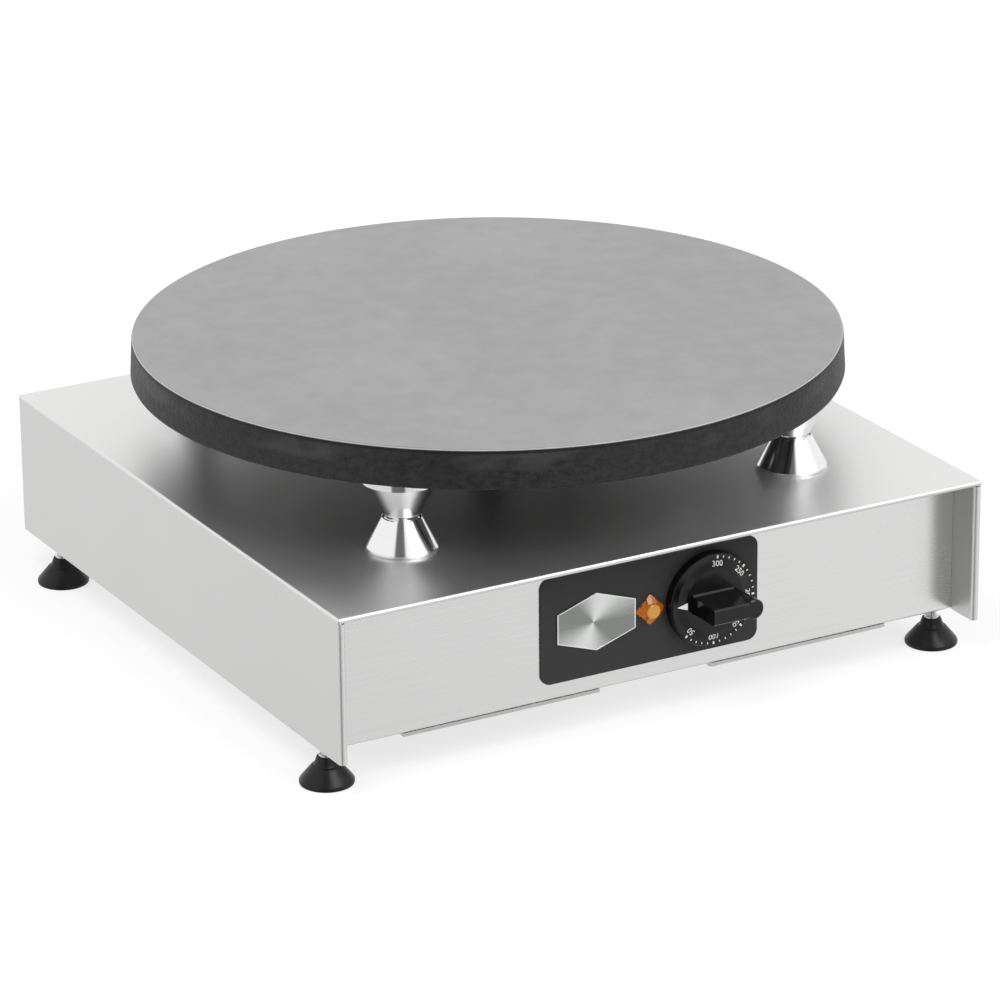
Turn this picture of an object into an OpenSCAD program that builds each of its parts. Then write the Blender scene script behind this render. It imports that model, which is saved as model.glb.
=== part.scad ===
// Single-plate electric crepe maker.
// A folded stainless housing on four levelling feet carries a cast baking plate on four turned spacers.
// Millimetres, +Z up, the front faces -Y. The origin is on the table, under the centre of the bounding box.
// The sub-parts are drawn round the plate's axis and in_frame() moves them to that origin.

/* [Housing] */
// Width of the housing over its side walls
body_w = 403; // [399:1:420]
// Depth of the housing over its hemmed edges
body_d = 402; // [399:1:420]
// Height of the side walls
wall_h = 83; // [80:1:92]
// Thickness of the stainless sheet
sheet_t = 1.2; // [1:0.1:1.3]
// Outer radius of the long bends and of the flat hems across the top's edges
bend_r = 1.5; // [1.4:0.1:1.8]
// Outer radius of the open hems up the side walls' edges
side_hem_r = 2.4; // [2:0.1:2.6]
// Reach of a hem's return leg, from the front edge
hem_reach = 18; // [12:0.5:19]
// Depth of the front and rear panels behind the edges of the side walls
recess = 21.5; // [20:0.5:24]
// Width of the flanges folded inwards under the side walls
floor_flange = 66; // [62:1:70]
// Width of the flanges folded back round the front and rear panels
panel_flange = 14; // [11:1:15]
// Seam left between two sheets that meet
seam = 0.2; // [0.1:0.1:0.4]

/* [Base plate] */
// Thickness of the base plate
base_t = 2; // [1.5:0.5:2.5]
// Distance of the base plate's edge inside the side walls
base_inset = 49; // [45:1:52]
// Width of the notch in the base plate's front edge
notch_w = 71.5; // [60:0.5:76]
// Depth of that notch
notch_depth = 12; // [8:1:13]
// Ventilation slots in each of the two rows
slot_count = 7; // [3:1:8]
// Length of a ventilation slot
slot_l = 46; // [30:1:50]
// Width of a ventilation slot
slot_w = 4; // [3:0.5:5]
// Distance from one slot to the next
slot_pitch = 14; // [10:1:15]
// Distance of each row's middle from the centre line
slot_row_x = 60; // [50:1:70]

/* [Screws] */
// Radius of the small screws' threads
screw_r = 2; // [1.8:0.1:2.2]
// Radius of the small screws' heads
screw_head_r = 3.7; // [3.4:0.1:4]
// Height of the small screws' heads
screw_head_h = 2.3; // [2:0.1:2.6]
// Length of the small screws' shanks
screw_l = 7; // [6:0.5:9]
// Distance between neighbouring base screws along a side wall
base_screw_pitch = 120; // [100:1:130]
// Place of the single front base screw, right of the middle
front_screw_x = 44; // [41:0.5:50]
// Radial play of a part that turns or screws in a hole
play = 0.05; // [0.03:0.01:0.08]
// Radial clearance of a screw or pin in a plain hole
hole_play = 0.3; // [0.2:0.1:0.5]

/* [Baking plate] */
// Diameter of the machined baking face
plate_d = 400; // [392:1:410]
// Height of the plate's rim
plate_t = 23; // [21:0.5:26]
// How far the cast rim widens towards its lower edge
rim_draft = 1.5; // [0.5:0.1:2]
// Radius of the rim's rounded edges
rim_edge = 1.6; // [1:0.1:2.5]
// Thickness of the plate inside its rim
plate_web = 14; // [13:0.5:15]
// Width of the rim at the underside
rim_w = 15; // [12:1:18]
// Radius of the bosses that stand on the spacers
boss_r = 22.8; // [22.4:0.1:23]
// Metal between a boss and the plate's lower edge
boss_edge = 1.9; // [1:0.1:3]

/* [Spacers] */
// Height of the gap between the housing and the plate
spacer_h = 43.5; // [40:0.5:55]
// Angle of the spacers' axes round the plate, from the X axis
spacer_angle = 45.7; // [44:0.1:46.5]
// Radius of a spacer's foot
spacer_foot_r = 19.8; // [18:0.1:21.5]
// Height of the lower cone
spacer_base_h = 18.7; // [16:0.1:22]
// Radius of the ledge at the top of the lower cone
spacer_ledge_r = 10.9; // [10:0.1:12.5]
// Radius of the upper cone at the waist
spacer_waist_r = 9.3; // [7.5:0.1:9.8]
// Radius of the upper cone where it meets its lip
spacer_flare_r = 20; // [17:0.1:21]
// Radius of the upper cone's lip
spacer_lip_r = 22.2; // [21.2:0.1:22.4]
// Height of the upper cone's lip
spacer_lip_h = 4.2; // [2:0.1:6]
// Radius of the bolt through a spacer
bolt_r = 4; // [3.5:0.1:4.5]
// Depth of the bolt's thread in the plate
bolt_grip = 17; // [12:0.5:18]

/* [Heating] */
// Radius of the tubular element
element_r = 4.25; // [3.75:0.05:4.3]
// Radius of the element's innermost ring
ring_first = 50; // [48:1:52]
// Gap between the element's outermost ring and the wall of the pan
element_gap = 1.55; // [1.5:0.05:3]
// Opening angle of the rings
ring_gap = 40; // [36:1:50]
// Thickness of the plate that presses the element on
press_t = 2; // [1.5:0.5:3]
// Thickness of the insulation
insulation_t = 10; // [8:0.5:12]
// Thickness of the heater pan's sheet
pan_t = 1.2; // [1:0.1:1.5]
// Gap between the heater pan and the lips of the spacers
pan_gap = 7.6; // [7:0.1:10]
// Radius of the studs that hold the pan
stud_r = 3; // [2.5:0.1:3.5]
// Inner radius of the conduit for the leads
conduit_bore_r = 7.5; // [6.5:0.1:8]
// Wall of the conduit
conduit_wall = 1.5; // [1.2:0.1:1.8]

/* [Controls] */
// Width of the fascia plate
fascia_w = 136.7; // [134:0.1:141]
// Height of the fascia plate
fascia_h = 61.3; // [59:0.1:64]
// Thickness of the fascia plate
fascia_t = 1; // [0.8:0.1:1.4]
// Corner radius of the fascia plate
fascia_corner = 6; // [3:0.5:8]
// Height of the controls' axes above the lower edge of the front panel
control_z = 40.7; // [39:0.1:44]
// Place of the pilot lamp, right of the middle
lamp_x = -1.1; // [-4:0.1:1]
// Distance from the lamp to the dial
dial_offset = 37.1; // [36:0.1:39]
// Distance from the lamp to the badge
badge_offset = 33.6; // [33:0.1:36]
// Width of the hexagonal badge
badge_w = 49.2; // [46:0.1:51]
// Height of the badge between its points
badge_h = 33.4; // [30:0.1:36]
// Length of the badge's upright sides
badge_side = 17; // [14:0.1:20]
// Thickness of the badge
badge_t = 0.8; // [0.6:0.1:1.2]

/* [Knob] */
// Radius of the dial
dial_r = 26.9; // [25:0.1:28]
// Gap between the fascia and the dial
dial_gap = 0.6; // [0.4:0.1:1]
// Height of the dial's edge above the panel
dial_edge_h = 7.4; // [6.8:0.1:8.5]
// Rise of the dial's face inside its flat ring
dial_rise = 0.9; // [0.5:0.1:1.4]
// Wall of the hollow dial
dial_wall = 2.4; // [2:0.1:2.8]
// Height of the grip's front above the panel
grip_h = 31; // [28:0.5:34]
// Reach of the grip's square end from the axis
grip_tail = 13.9; // [12:0.1:15]
// Reach of the grip's round nose from the axis
grip_nose = 17.7; // [16:0.1:20]
// Radius of the round nose at its front
nose_r = 5.8; // [5.2:0.1:6.2]
// Thickness of the grip where it leaves the dial
grip_root_t = 9.8; // [9.6:0.1:11]
// Thickness of the grip at its front
grip_tip_t = 9.2; // [8:0.1:10]
// Radius of the thermostat's shaft
shaft_r = 3; // [2.8:0.1:3.2]
// Depth of the flat on the shaft
shaft_flat = 1.4; // [1:0.1:1.6]

/* [Feet] */
// Clear height under the side walls
ground_gap = 24; // [23.5:0.5:30]
// Radius of a foot's pad
pad_r = 15; // [13:0.1:16]
// Height of a foot's pad
pad_h = 15.8; // [14:0.1:16.4]
// Radius of the collar on the pad
collar_r = 6.6; // [6:0.1:7.5]
// Radius of the foot's threaded stud
foot_stud_r = 3; // [2.8:0.1:3.2]
// Distance of the feet from the outside of the side walls
foot_inset = 9; // [8.3:0.1:9.4]
// Distance of the feet from the front and rear edges of the housing
foot_setback = 34.3; // [33:0.1:60]
// Length of stud above the weld nut
foot_spare = 12; // [11:0.5:16]

/* [Cable entry] */
// Radius of the hole for the mains cable
cable_r = 4.5; // [4:0.1:5]
// Radius of the gland's thread
gland_r = 9.9; // [9:0.1:10.5]
// Place of the gland on the rear panel, from the middle
gland_x = -110; // [-120:1:-100]
// Height of the gland above the lower edge of the rear panel
gland_z = 34; // [30:1:45]
// How far the gland stands out of the rear panel
gland_reach = 18; // [16:0.5:19]

/* [Hidden] */
$fn = 64;

STAINLESS = [0.80, 0.80, 0.79];
TURNED = [0.86, 0.86, 0.87];
CAST = [0.26, 0.26, 0.27];
BLACK = [0.10, 0.10, 0.10];
FASCIA = [0.20, 0.20, 0.21];
AMBER = [0.85, 0.42, 0.08];
ZINC = [0.72, 0.73, 0.75];
CERAMIC = [0.90, 0.87, 0.80];
COPPER = [0.72, 0.45, 0.25];
WOOL = [0.88, 0.86, 0.78];
SLEEVE = [0.65, 0.30, 0.15];

// Housing levels and edges
hem_t = 2 * bend_r;
side_hem_t = 2 * side_hem_r;
z_wall = ground_gap;
z_top = z_wall + wall_h;
z_hem = z_top - hem_t;
y_front = -body_d / 2 + recess;
panel_half_w = body_w / 2 - sheet_t - seam;
flange_x = body_w / 2 - floor_flange;
base_x = body_w / 2 - base_inset;
base_screw_x = (flange_x + base_x) / 2;
inner_floor = z_wall + sheet_t;

// Plate and spacer levels
z_plate = z_top + spacer_h;
z_cook = z_plate + plate_t;
z_web = z_cook - plate_web;
rim_r = plate_d / 2 + rim_draft;
spacer_circle_r = rim_r - boss_r - boss_edge;
spacer_x = spacer_circle_r * cos(spacer_angle);
spacer_y = spacer_circle_r * sin(spacer_angle);
washer_t = 1.6;

// Heater levels, from the plate's underside down
stack_gap = 0.1;
z_ring = z_web - element_r - stack_gap;
z_press = z_ring - element_r - stack_gap - press_t;
z_insulation = z_press - stack_gap - insulation_t;
z_pan = z_insulation - stack_gap - pan_t;
pan_r = spacer_circle_r - spacer_lip_r - pan_gap;
ring_count = 4;
ring_last = pan_r - pan_t - element_r - element_gap;
ring_step = (ring_last - ring_first) / (ring_count - 1);
stud_circle_r = ring_last - ring_step / 2;
elbow_r = 8;
terminal_r = 2;
terminal_drop = 5.2;
z_elbow = z_ring - elbow_r;
slot_offset = -16;
lead_slot_w = 20;
pin_z = z_elbow - terminal_drop;
conduit_r = conduit_bore_r + conduit_wall;
nut_t = 4;
conduit_nut_af = 26;
z_conduit_top = z_pan + pan_t;
z_conduit_low = z_top - sheet_t - nut_t - 3;

// Controls
dial_x = lamp_x + dial_offset;
badge_x = lamp_x - badge_offset;
fascia_x = lamp_x + 0.5;
fascia_mid_z = control_z - 0.6;
dial_face_h = dial_edge_h + dial_rise;
dial_back = fascia_t + dial_gap;
hub_r = shaft_r + 4;
fascia_dial_r = dial_r - 8;
thermostat_screw_off = 14;
shaft_out = 20;
thermostat_depth = 30;
thermostat_w = 40;
thermostat_tall = 34;
thermostat_corner = 4;
thermostat_flange_w = 44;
thermostat_flange_tall = 30;
thermostat_cap_r = 11;
shaft_in = 14;
lamp_bore_r = 5;
lamp_lobe_r = 8.7;
lamp_lens_h = 5.6;
lamp_body_l = 24;
thermostat_flange_t = 2;
thermostat_back_y = y_front + sheet_t + thermostat_flange_t + thermostat_depth;
thermostat_cap_h = 5;
blade_l = 8;
blade_x = 15;
blade_high = 4.5;
blade_low = -5.5;
z_dial = z_wall + control_z;

// Bulb, capillary and wires
bulb_r = 3;
bulb_l = 58;
bulb_x = -22;
bulb_z = z_web - bulb_r - stack_gap;
capillary_r = 1;
lead_r = 1.5;
z_lead = pin_z - lead_r;

// Mains terminals
terminal_x = -70;
terminal_y = 130;
terminal_d = 24;
terminal_pole_pitch = 13;
terminal_bore_z = 10;
earth_x = -30;
earth_y = 130;

// Feet
nut_af = 10;
foot_nut_h = 5;
foot_x = body_w / 2 - foot_inset;
foot_y = body_d / 2 - foot_setback;
stud_seat = 6;
stud_top = inner_floor + foot_nut_h + foot_spare;
pad_edge_h = 2;
collar_h = 6;
collar_z = pad_h - collar_h;

// The knob reaches further forward than anything reaches back, so the plate's axis lies behind the origin
reach_front = grip_h - y_front;
reach_back = max(body_d / 2, rim_r);
axis_y = (reach_front - reach_back) / 2;

SIDES = [-1, 1];

module in_frame() {
    translate([0, axis_y, 0]) children();
}

// Drawings laid on the three main planes, extruded between two positions
module along_y(y0, y1) {
    translate([0, y1, 0]) rotate([90, 0, 0]) linear_extrude(y1 - y0) children();
}

module along_x(x0, x1) {
    translate([x0, 0, 0]) rotate([90, 0, 90]) linear_extrude(x1 - x0) children();
}

// Local frame of a control: on the front panel's face, local Z pointing out of it, local Y up
module at_front(x, z) {
    translate([x, y_front, z_wall + z]) rotate([90, 0, 0]) children();
}

// Local frame on the rear panel's face, local Z pointing out of it
module at_rear(x, z) {
    translate([x, -y_front, z_wall + z]) rotate([-90, 0, 0]) children();
}

module rounded_rect(x0, y0, w, h, r) {
    translate([x0 + r, y0]) square([w - 2 * r, h]);
    translate([x0, y0 + r]) square([w, h - 2 * r]);
    for (x = [x0 + r, x0 + w - r], y = [y0 + r, y0 + h - r])
        translate([x, y]) circle(r);
}

module hexagon(af, h) {
    cylinder(r = af / 2 / cos(30), h = h, $fn = 6);
}

module hex_nut(af, bore, h) {
    difference() {
        hexagon(af, h);
        translate([0, 0, -1]) cylinder(r = bore, h = h + 2);
    }
}

// Pan-head screw, its thread pointing up from z = 0 and its head below
module pan_screw(l) {
    translate([0, 0, -screw_head_h])
        rotate_extrude()
            polygon([
                [0, 0], [screw_head_r - 1, 0], [screw_head_r, 1], [screw_head_r, screw_head_h],
                [screw_r, screw_head_h], [screw_r, screw_head_h + l - 0.5],
                [screw_r - 0.5, screw_head_h + l], [0, screw_head_h + l]
            ]);
}

// ---- Tubes and wires swept along points

function unit(v) = v / norm(v);
function tangent(p, i) = unit(p[min(i + 1, len(p) - 1)] - p[max(i - 1, 0)]);
function spline_point(a, b, c, d, t) =
    0.5 * (2 * b + (c - a) * t + (2 * a - 5 * b + 4 * c - d) * t * t
        + (3 * b - a - 3 * c + d) * t * t * t);
function spline(p, n) = [
    for (i = [0 : len(p) - 2], k = [0 : n - 1])
        spline_point(p[max(i - 1, 0)], p[i], p[i + 1], p[min(i + 2, len(p) - 1)], k / n),
    p[len(p) - 1]
];

module swept_tube(path, r, sides = 8) {
    skew = [0.36, 0.48, 0.80];
    rings = [
        for (i = [0 : len(path) - 1])
            let (t = tangent(path, i), u = unit(cross(skew, t)), v = cross(t, u))
                [for (k = [0 : sides - 1], a = 360 * k / sides) path[i] + r * (cos(a) * u + sin(a) * v)]
    ];
    last = (len(path) - 1) * sides;
    polyhedron(
        points = [for (ring = rings) each ring],
        faces = [
            [for (k = [0 : sides - 1]) k],
            [for (k = [sides - 1 : -1 : 0]) last + k],
            for (i = [0 : len(path) - 2], k = [0 : sides - 1])
                let (a = i * sides + k, b = i * sides + (k + 1) % sides)
                    each [[a, a + sides, b], [b, a + sides, b + sides]]
        ]
    );
}

// ---- Housing

module arch_section(half_w, z0, z1, r) {
    translate([-half_w, z0]) square([2 * half_w, z1 - r - z0]);
    translate([-half_w + r, z0]) square([2 * (half_w - r), z1 - z0]);
    for (s = SIDES) translate([s * (half_w - r), z1 - r]) circle(r);
}

// Section of the walls and top beside the recesses, without the floor flanges
module open_section() {
    difference() {
        arch_section(body_w / 2, z_wall, z_top, bend_r);
        arch_section(body_w / 2 - sheet_t, z_wall - 1, z_top - sheet_t, bend_r - sheet_t);
    }
}

// Section between the panels, with the flanges folded in under the walls
module closed_section() {
    difference() {
        rounded_rect(-body_w / 2, z_wall, body_w, wall_h, bend_r);
        rounded_rect(-body_w / 2 + sheet_t, inner_floor, body_w - 2 * sheet_t, wall_h - 2 * sheet_t,
            bend_r - sheet_t);
        translate([-flange_x, z_wall - 1]) square([2 * flange_x, sheet_t + 2]);
    }
}

// Front half of a ring, or of a disc when the bore is zero
module half_ring(r, bore) {
    difference() {
        circle(r);
        if (bore > 0) circle(bore);
        translate([-2 * r, 0]) square([4 * r, 2 * r]);
    }
}

// Shut roll of the flat hem: across the top, round the corners and a little way down each wall
module hem_roll() {
    along_x(-body_w / 2 + bend_r, body_w / 2 - bend_r) rotate([0, 0, -90]) half_ring(bend_r, 0);
    for (s = [0, 1])
        mirror([s, 0, 0])
            translate([body_w / 2 - bend_r, 0, 0]) {
                translate([0, 0, -bend_r]) linear_extrude(bend_r) half_ring(bend_r, 0);
                rotate([90, 0, 0])
                    rotate_extrude(angle = 90)
                        intersection() {
                            circle(bend_r);
                            square(bend_r);
                        }
            }
}

// Hems of the front edges, with their return legs
module hem() {
    side_top = z_hem - seam;
    translate([0, -body_d / 2 + bend_r, z_top - bend_r]) hem_roll();
    translate([-body_w / 2 + hem_t, -body_d / 2 + bend_r, z_hem])
        cube([body_w - 2 * hem_t, hem_reach - bend_r, sheet_t]);
    for (s = SIDES) {
        translate([s * (body_w / 2 - side_hem_r), -body_d / 2 + side_hem_r, z_wall])
            linear_extrude(side_top - z_wall) half_ring(side_hem_r, side_hem_r - sheet_t);
        translate([s * (body_w / 2 - side_hem_t + sheet_t / 2), -body_d / 2 + side_hem_r, z_wall])
            translate([-sheet_t / 2, 0, 0]) cube([sheet_t, hem_reach - side_hem_r, side_top - z_wall]);
    }
}

module body_cover() {
    color(STAINLESS) in_frame()
    difference() {
        union() {
            along_y(-body_d / 2 + side_hem_r, body_d / 2 - side_hem_r) open_section();
            along_y(-body_d / 2 + bend_r, body_d / 2 - bend_r)
                intersection() {
                    open_section();
                    translate([-body_w, z_hem]) square([2 * body_w, 2 * hem_t]);
                }
            along_y(y_front + sheet_t + seam, -y_front - sheet_t - seam) closed_section();
            hem();
            mirror([0, 1, 0]) hem();
        }
        for (x = SIDES, y = SIDES) {
            translate([x * spacer_x, y * spacer_y, z_top - 2 * sheet_t])
                cylinder(r = bolt_r + hole_play, h = 3 * sheet_t);
            translate([x * foot_x, y * foot_y, z_wall - 1])
                cylinder(r = foot_stud_r + hole_play, h = sheet_t + 2);
        }
        translate([0, 0, z_top - 2 * sheet_t]) cylinder(r = conduit_r + hole_play, h = 3 * sheet_t);
        for (s = SIDES, k = [-1, 0, 1])
            translate([s * base_screw_x, k * base_screw_pitch, z_wall - 1])
                cylinder(r = screw_r + play, h = sheet_t + 2);
    }
}

// Sheet tray that closes one end of the housing, drawn at the front
module panel_tray() {
    panel_top = z_top - sheet_t - seam;
    difference() {
        union() {
            along_x(-panel_half_w, panel_half_w)
                difference() {
                    rounded_rect(y_front, z_wall, panel_flange + sheet_t, panel_top - z_wall, bend_r);
                    rounded_rect(y_front + sheet_t, inner_floor, panel_flange + sheet_t,
                        panel_top - z_wall - 2 * sheet_t, bend_r - sheet_t);
                    translate([y_front + panel_flange, z_wall - 1]) square([2 * sheet_t, wall_h + 2]);
                }
            for (s = SIDES)
                translate([s * (panel_half_w - sheet_t / 2), y_front + sheet_t / 2, inner_floor + seam])
                    translate([-sheet_t / 2, 0, 0])
                        cube([sheet_t, panel_flange - sheet_t / 2, panel_top - bend_r - inner_floor - seam]);
        }
        for (s = SIDES)
            translate([s > 0 ? flange_x - seam : -body_w / 2, y_front + sheet_t, z_wall - 1])
                cube([floor_flange + seam, panel_flange, sheet_t + seam + 1]);
    }
}

module front_panel() {
    color(STAINLESS) in_frame()
    difference() {
        panel_tray();
        at_front(dial_x, control_z) {
            translate([0, 0, -2 * sheet_t]) cylinder(r = shaft_r + 2, h = 3 * sheet_t);
            for (s = SIDES)
                translate([s * thermostat_screw_off, 0, -2 * sheet_t])
                    cylinder(r = screw_r + hole_play, h = 3 * sheet_t);
        }
        at_front(lamp_x, control_z)
            translate([0, 0, -2 * sheet_t]) cylinder(r = lamp_bore_r + hole_play, h = 3 * sheet_t);
        translate([front_screw_x, y_front + panel_flange / 2, z_wall - 1])
            cylinder(r = screw_r + play, h = sheet_t + 2);
    }
}

module rear_panel() {
    color(STAINLESS) in_frame()
    difference() {
        mirror([0, 1, 0]) panel_tray();
        at_rear(gland_x, gland_z)
            translate([0, 0, -2 * sheet_t]) cylinder(r = gland_r + hole_play, h = 3 * sheet_t);
        translate([-front_screw_x, -y_front - panel_flange / 2, z_wall - 1])
            cylinder(r = screw_r + play, h = sheet_t + 2);
    }
}

// Places of the base screws: three along each wall, one at the front and one at the rear
BASE_SCREWS = [
    for (s = SIDES, k = [-1, 0, 1]) [s * base_screw_x, k * base_screw_pitch],
    for (s = SIDES) [-s * front_screw_x, s * (-y_front - panel_flange / 2)]
];

module base_plate() {
    edge_y = -y_front - seam;
    strip_end = 4.2;
    color(STAINLESS) in_frame()
    translate([0, 0, z_wall - base_t])
        linear_extrude(base_t)
            difference() {
                translate([-base_x, -edge_y]) square([2 * base_x, 2 * edge_y]);
                translate([front_screw_x - strip_end - notch_w, -edge_y - 1])
                    square([notch_w, notch_depth + 1]);
                for (p = BASE_SCREWS) translate(p) circle(screw_r + hole_play);
                for (s = SIDES, k = [0 : slot_count - 1])
                    translate([s * slot_row_x, (k - (slot_count - 1) / 2) * slot_pitch])
                        rounded_rect(-slot_l / 2, -slot_w / 2, slot_l, slot_w, slot_w / 2 - 0.01);
                translate([terminal_x, terminal_y]) circle(screw_r + play);
                translate([earth_x, earth_y]) circle(screw_r + play);
            }
}

module base_screws() {
    color(ZINC) in_frame()
    for (p = BASE_SCREWS)
        translate([p[0], p[1], z_wall - base_t]) pan_screw(screw_l);
}

module foot_nuts() {
    color(ZINC) in_frame()
    for (x = SIDES, y = SIDES)
        translate([x * foot_x, y * foot_y, inner_floor])
            rotate([0, 0, 30]) hex_nut(nut_af, foot_stud_r + play, foot_nut_h);
}

// ---- Controls

module fascia_plate() {
    color(FASCIA) in_frame()
    at_front(fascia_x, fascia_mid_z)
        difference() {
            linear_extrude(fascia_t)
                rounded_rect(-fascia_w / 2, -fascia_h / 2, fascia_w, fascia_h, fascia_corner);
            translate([lamp_x - fascia_x, control_z - fascia_mid_z, -1])
                cylinder(r = lamp_bore_r + hole_play, h = fascia_t + 2);
            translate([dial_x - fascia_x, control_z - fascia_mid_z, -1])
                cylinder(r = fascia_dial_r, h = fascia_t + 2);
        }
}

module badge_plate() {
    half_w = badge_w / 2;
    color(TURNED) in_frame()
    at_front(badge_x, control_z)
        translate([0, 0, fascia_t])
            linear_extrude(badge_t)
                polygon([
                    [0, badge_h / 2], [half_w, badge_side / 2], [half_w, -badge_side / 2],
                    [0, -badge_h / 2], [-half_w, -badge_side / 2], [-half_w, badge_side / 2]
                ]);
}

// Amber lens: a round face on a cone, with four sloping lobes round it
module pilot_lamp_lens() {
    seat = fascia_t + 0.05;
    lobe_low = 1.1;
    lobe_high = 3.4;
    lobe_r = lamp_lobe_r;
    color(AMBER) in_frame()
    at_front(lamp_x, control_z) {
        rotate_extrude()
            polygon([
                [0, -sheet_t - 6], [lamp_bore_r - 0.4, -sheet_t - 6], [lamp_bore_r, -sheet_t - 5],
                [lamp_bore_r, seat], [6.4, seat], [6.4, seat + lobe_low], [4.9, seat + 1.6],
                [4.3, lamp_lens_h], [3.9, lamp_lens_h + 0.4], [0, lamp_lens_h + 0.4]
            ]);
        for (k = [0 : 3])
            rotate([0, 0, 90 * k])
                intersection() {
                    translate([0, 0, seat])
                        linear_extrude(lobe_high)
                            polygon([
                                [4, 2.8], [6.8, 2.5], [lobe_r, 0.5], [lobe_r, -0.5], [6.8, -2.5], [4, -2.8]
                            ]);
                    rotate_extrude()
                        polygon([
                            [3.8, seat], [lobe_r, seat], [lobe_r, seat + 0.5],
                            [4.6, seat + lobe_high - 0.2], [3.8, seat + lobe_high - 0.2]
                        ]);
                }
    }
}

module pilot_lamp_body() {
    body_r = 5.6;
    z0 = -sheet_t - 6 - lamp_body_l;
    color(BLACK) in_frame()
    at_front(lamp_x, control_z) {
        translate([0, 0, z0]) cylinder(r = body_r, h = lamp_body_l - 0.1);
        for (s = SIDES)
            translate([s * 3 - 1.5, -0.4, z0 - 7]) cube([3, 0.8, 7.5]);
    }
}

module pilot_lamp_nut() {
    color(BLACK) in_frame()
    at_front(lamp_x, control_z)
        translate([0, 0, -sheet_t - 3])
            difference() {
                cylinder(r = 8, h = 2.95);
                translate([0, 0, -1]) cylinder(r = lamp_bore_r + play, h = 5);
            }
}

// Outline of the shaft with its flat, widened by the given play
module shaft_outline(extra) {
    difference() {
        circle(shaft_r + extra);
        translate([-2 * shaft_r, shaft_r - shaft_flat + extra]) square([4 * shaft_r, 2 * shaft_r]);
    }
}

// Grip's cross-section: a bevelled root, drafted sides and chamfered front edges
module grip_section() {
    chamfer = 0.9;
    bevel = 1;
    root = grip_root_t / 2;
    tip = grip_tip_t / 2;
    polygon([
        [-root - bevel, dial_face_h - 1], [root + bevel, dial_face_h - 1], [root + bevel, dial_face_h],
        [root, dial_face_h + bevel], [tip, grip_h - chamfer], [tip - chamfer, grip_h],
        [-tip + chamfer, grip_h], [-tip, grip_h - chamfer], [-root, dial_face_h + bevel],
        [-root - bevel, dial_face_h]
    ]);
}

module thermostat_knob() {
    edge = 0.9;
    ring_w = 3.7;
    slope_w = 5;
    hub_back = dial_back + 0.6;
    hollow_top = dial_edge_h - dial_wall;
    nose_x = grip_nose - nose_r;
    nose_h = grip_h - edge - dial_face_h + 1;
    color(BLACK) in_frame()
    at_front(dial_x, control_z)
        difference() {
            union() {
                // Hollow dial: a hub, a skirt, a flat ring and a raised face
                rotate_extrude()
                    polygon([
                        [0, hub_back], [hub_r, hub_back], [hub_r, hollow_top],
                        [dial_r - dial_wall, hollow_top], [dial_r - dial_wall, dial_back],
                        [dial_r, dial_back], [dial_r, dial_edge_h - edge], [dial_r - 0.3, dial_edge_h - 0.3],
                        [dial_r - edge, dial_edge_h], [dial_r - ring_w, dial_edge_h],
                        [dial_r - ring_w - slope_w, dial_face_h], [0, dial_face_h]
                    ]);
                // Grip bar and its round nose
                along_x(-grip_tail, nose_x) grip_section();
                translate([nose_x, 0, dial_face_h - 1]) {
                    cylinder(r1 = grip_root_t / 2, r2 = nose_r, h = nose_h);
                    translate([0, 0, nose_h]) cylinder(r1 = nose_r, r2 = nose_r - edge, h = edge);
                }
            }
            // Bore for the shaft, with the flat
            translate([0, 0, dial_back - 1]) linear_extrude(shaft_out - dial_back + 1.3) shaft_outline(play);
        }
}

module thermostat_shaft() {
    color(ZINC) in_frame()
    at_front(dial_x, control_z) {
        translate([0, 0, -sheet_t - shaft_in]) cylinder(r = shaft_r, h = shaft_in + sheet_t + dial_back);
        translate([0, 0, dial_back - 0.01]) linear_extrude(shaft_out - dial_back) shaft_outline(0);
    }
}

module thermostat_body() {
    back = -sheet_t - thermostat_flange_t - thermostat_depth;
    blade_w = 6;
    blade_t = 1;
    color(CERAMIC) in_frame()
    at_front(dial_x, control_z)
        difference() {
            union() {
                translate([0, 0, -sheet_t - thermostat_flange_t])
                    linear_extrude(thermostat_flange_t)
                        rounded_rect(-thermostat_flange_w / 2, -thermostat_flange_tall / 2,
                            thermostat_flange_w, thermostat_flange_tall, thermostat_corner);
                translate([0, 0, back])
                    linear_extrude(thermostat_depth)
                        rounded_rect(-thermostat_w / 2, -thermostat_tall / 2,
                            thermostat_w, thermostat_tall, thermostat_corner);
                translate([0, 0, back - thermostat_cap_h])
                    cylinder(r = thermostat_cap_r, h = thermostat_cap_h + 1);
                for (s = SIDES, y = [blade_low, blade_high])
                    translate([s * blade_x - blade_w / 2, y - blade_t / 2, back - blade_l])
                        cube([blade_w, blade_t, blade_l + 1]);
            }
            translate([0, 0, -sheet_t - shaft_in - 0.4]) cylinder(r = shaft_r + play, h = shaft_in + 2);
            for (s = SIDES)
                translate([s * thermostat_screw_off, 0, -sheet_t - screw_l - 1])
                    cylinder(r = screw_r + play, h = screw_l + 2);
        }
}

module thermostat_screws() {
    color(ZINC) in_frame()
    at_front(dial_x, control_z)
        for (s = SIDES)
            translate([s * thermostat_screw_off, 0, 0]) mirror([0, 0, 1]) pan_screw(screw_l + sheet_t - 0.5);
}

// ---- Baking plate and heater

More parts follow.
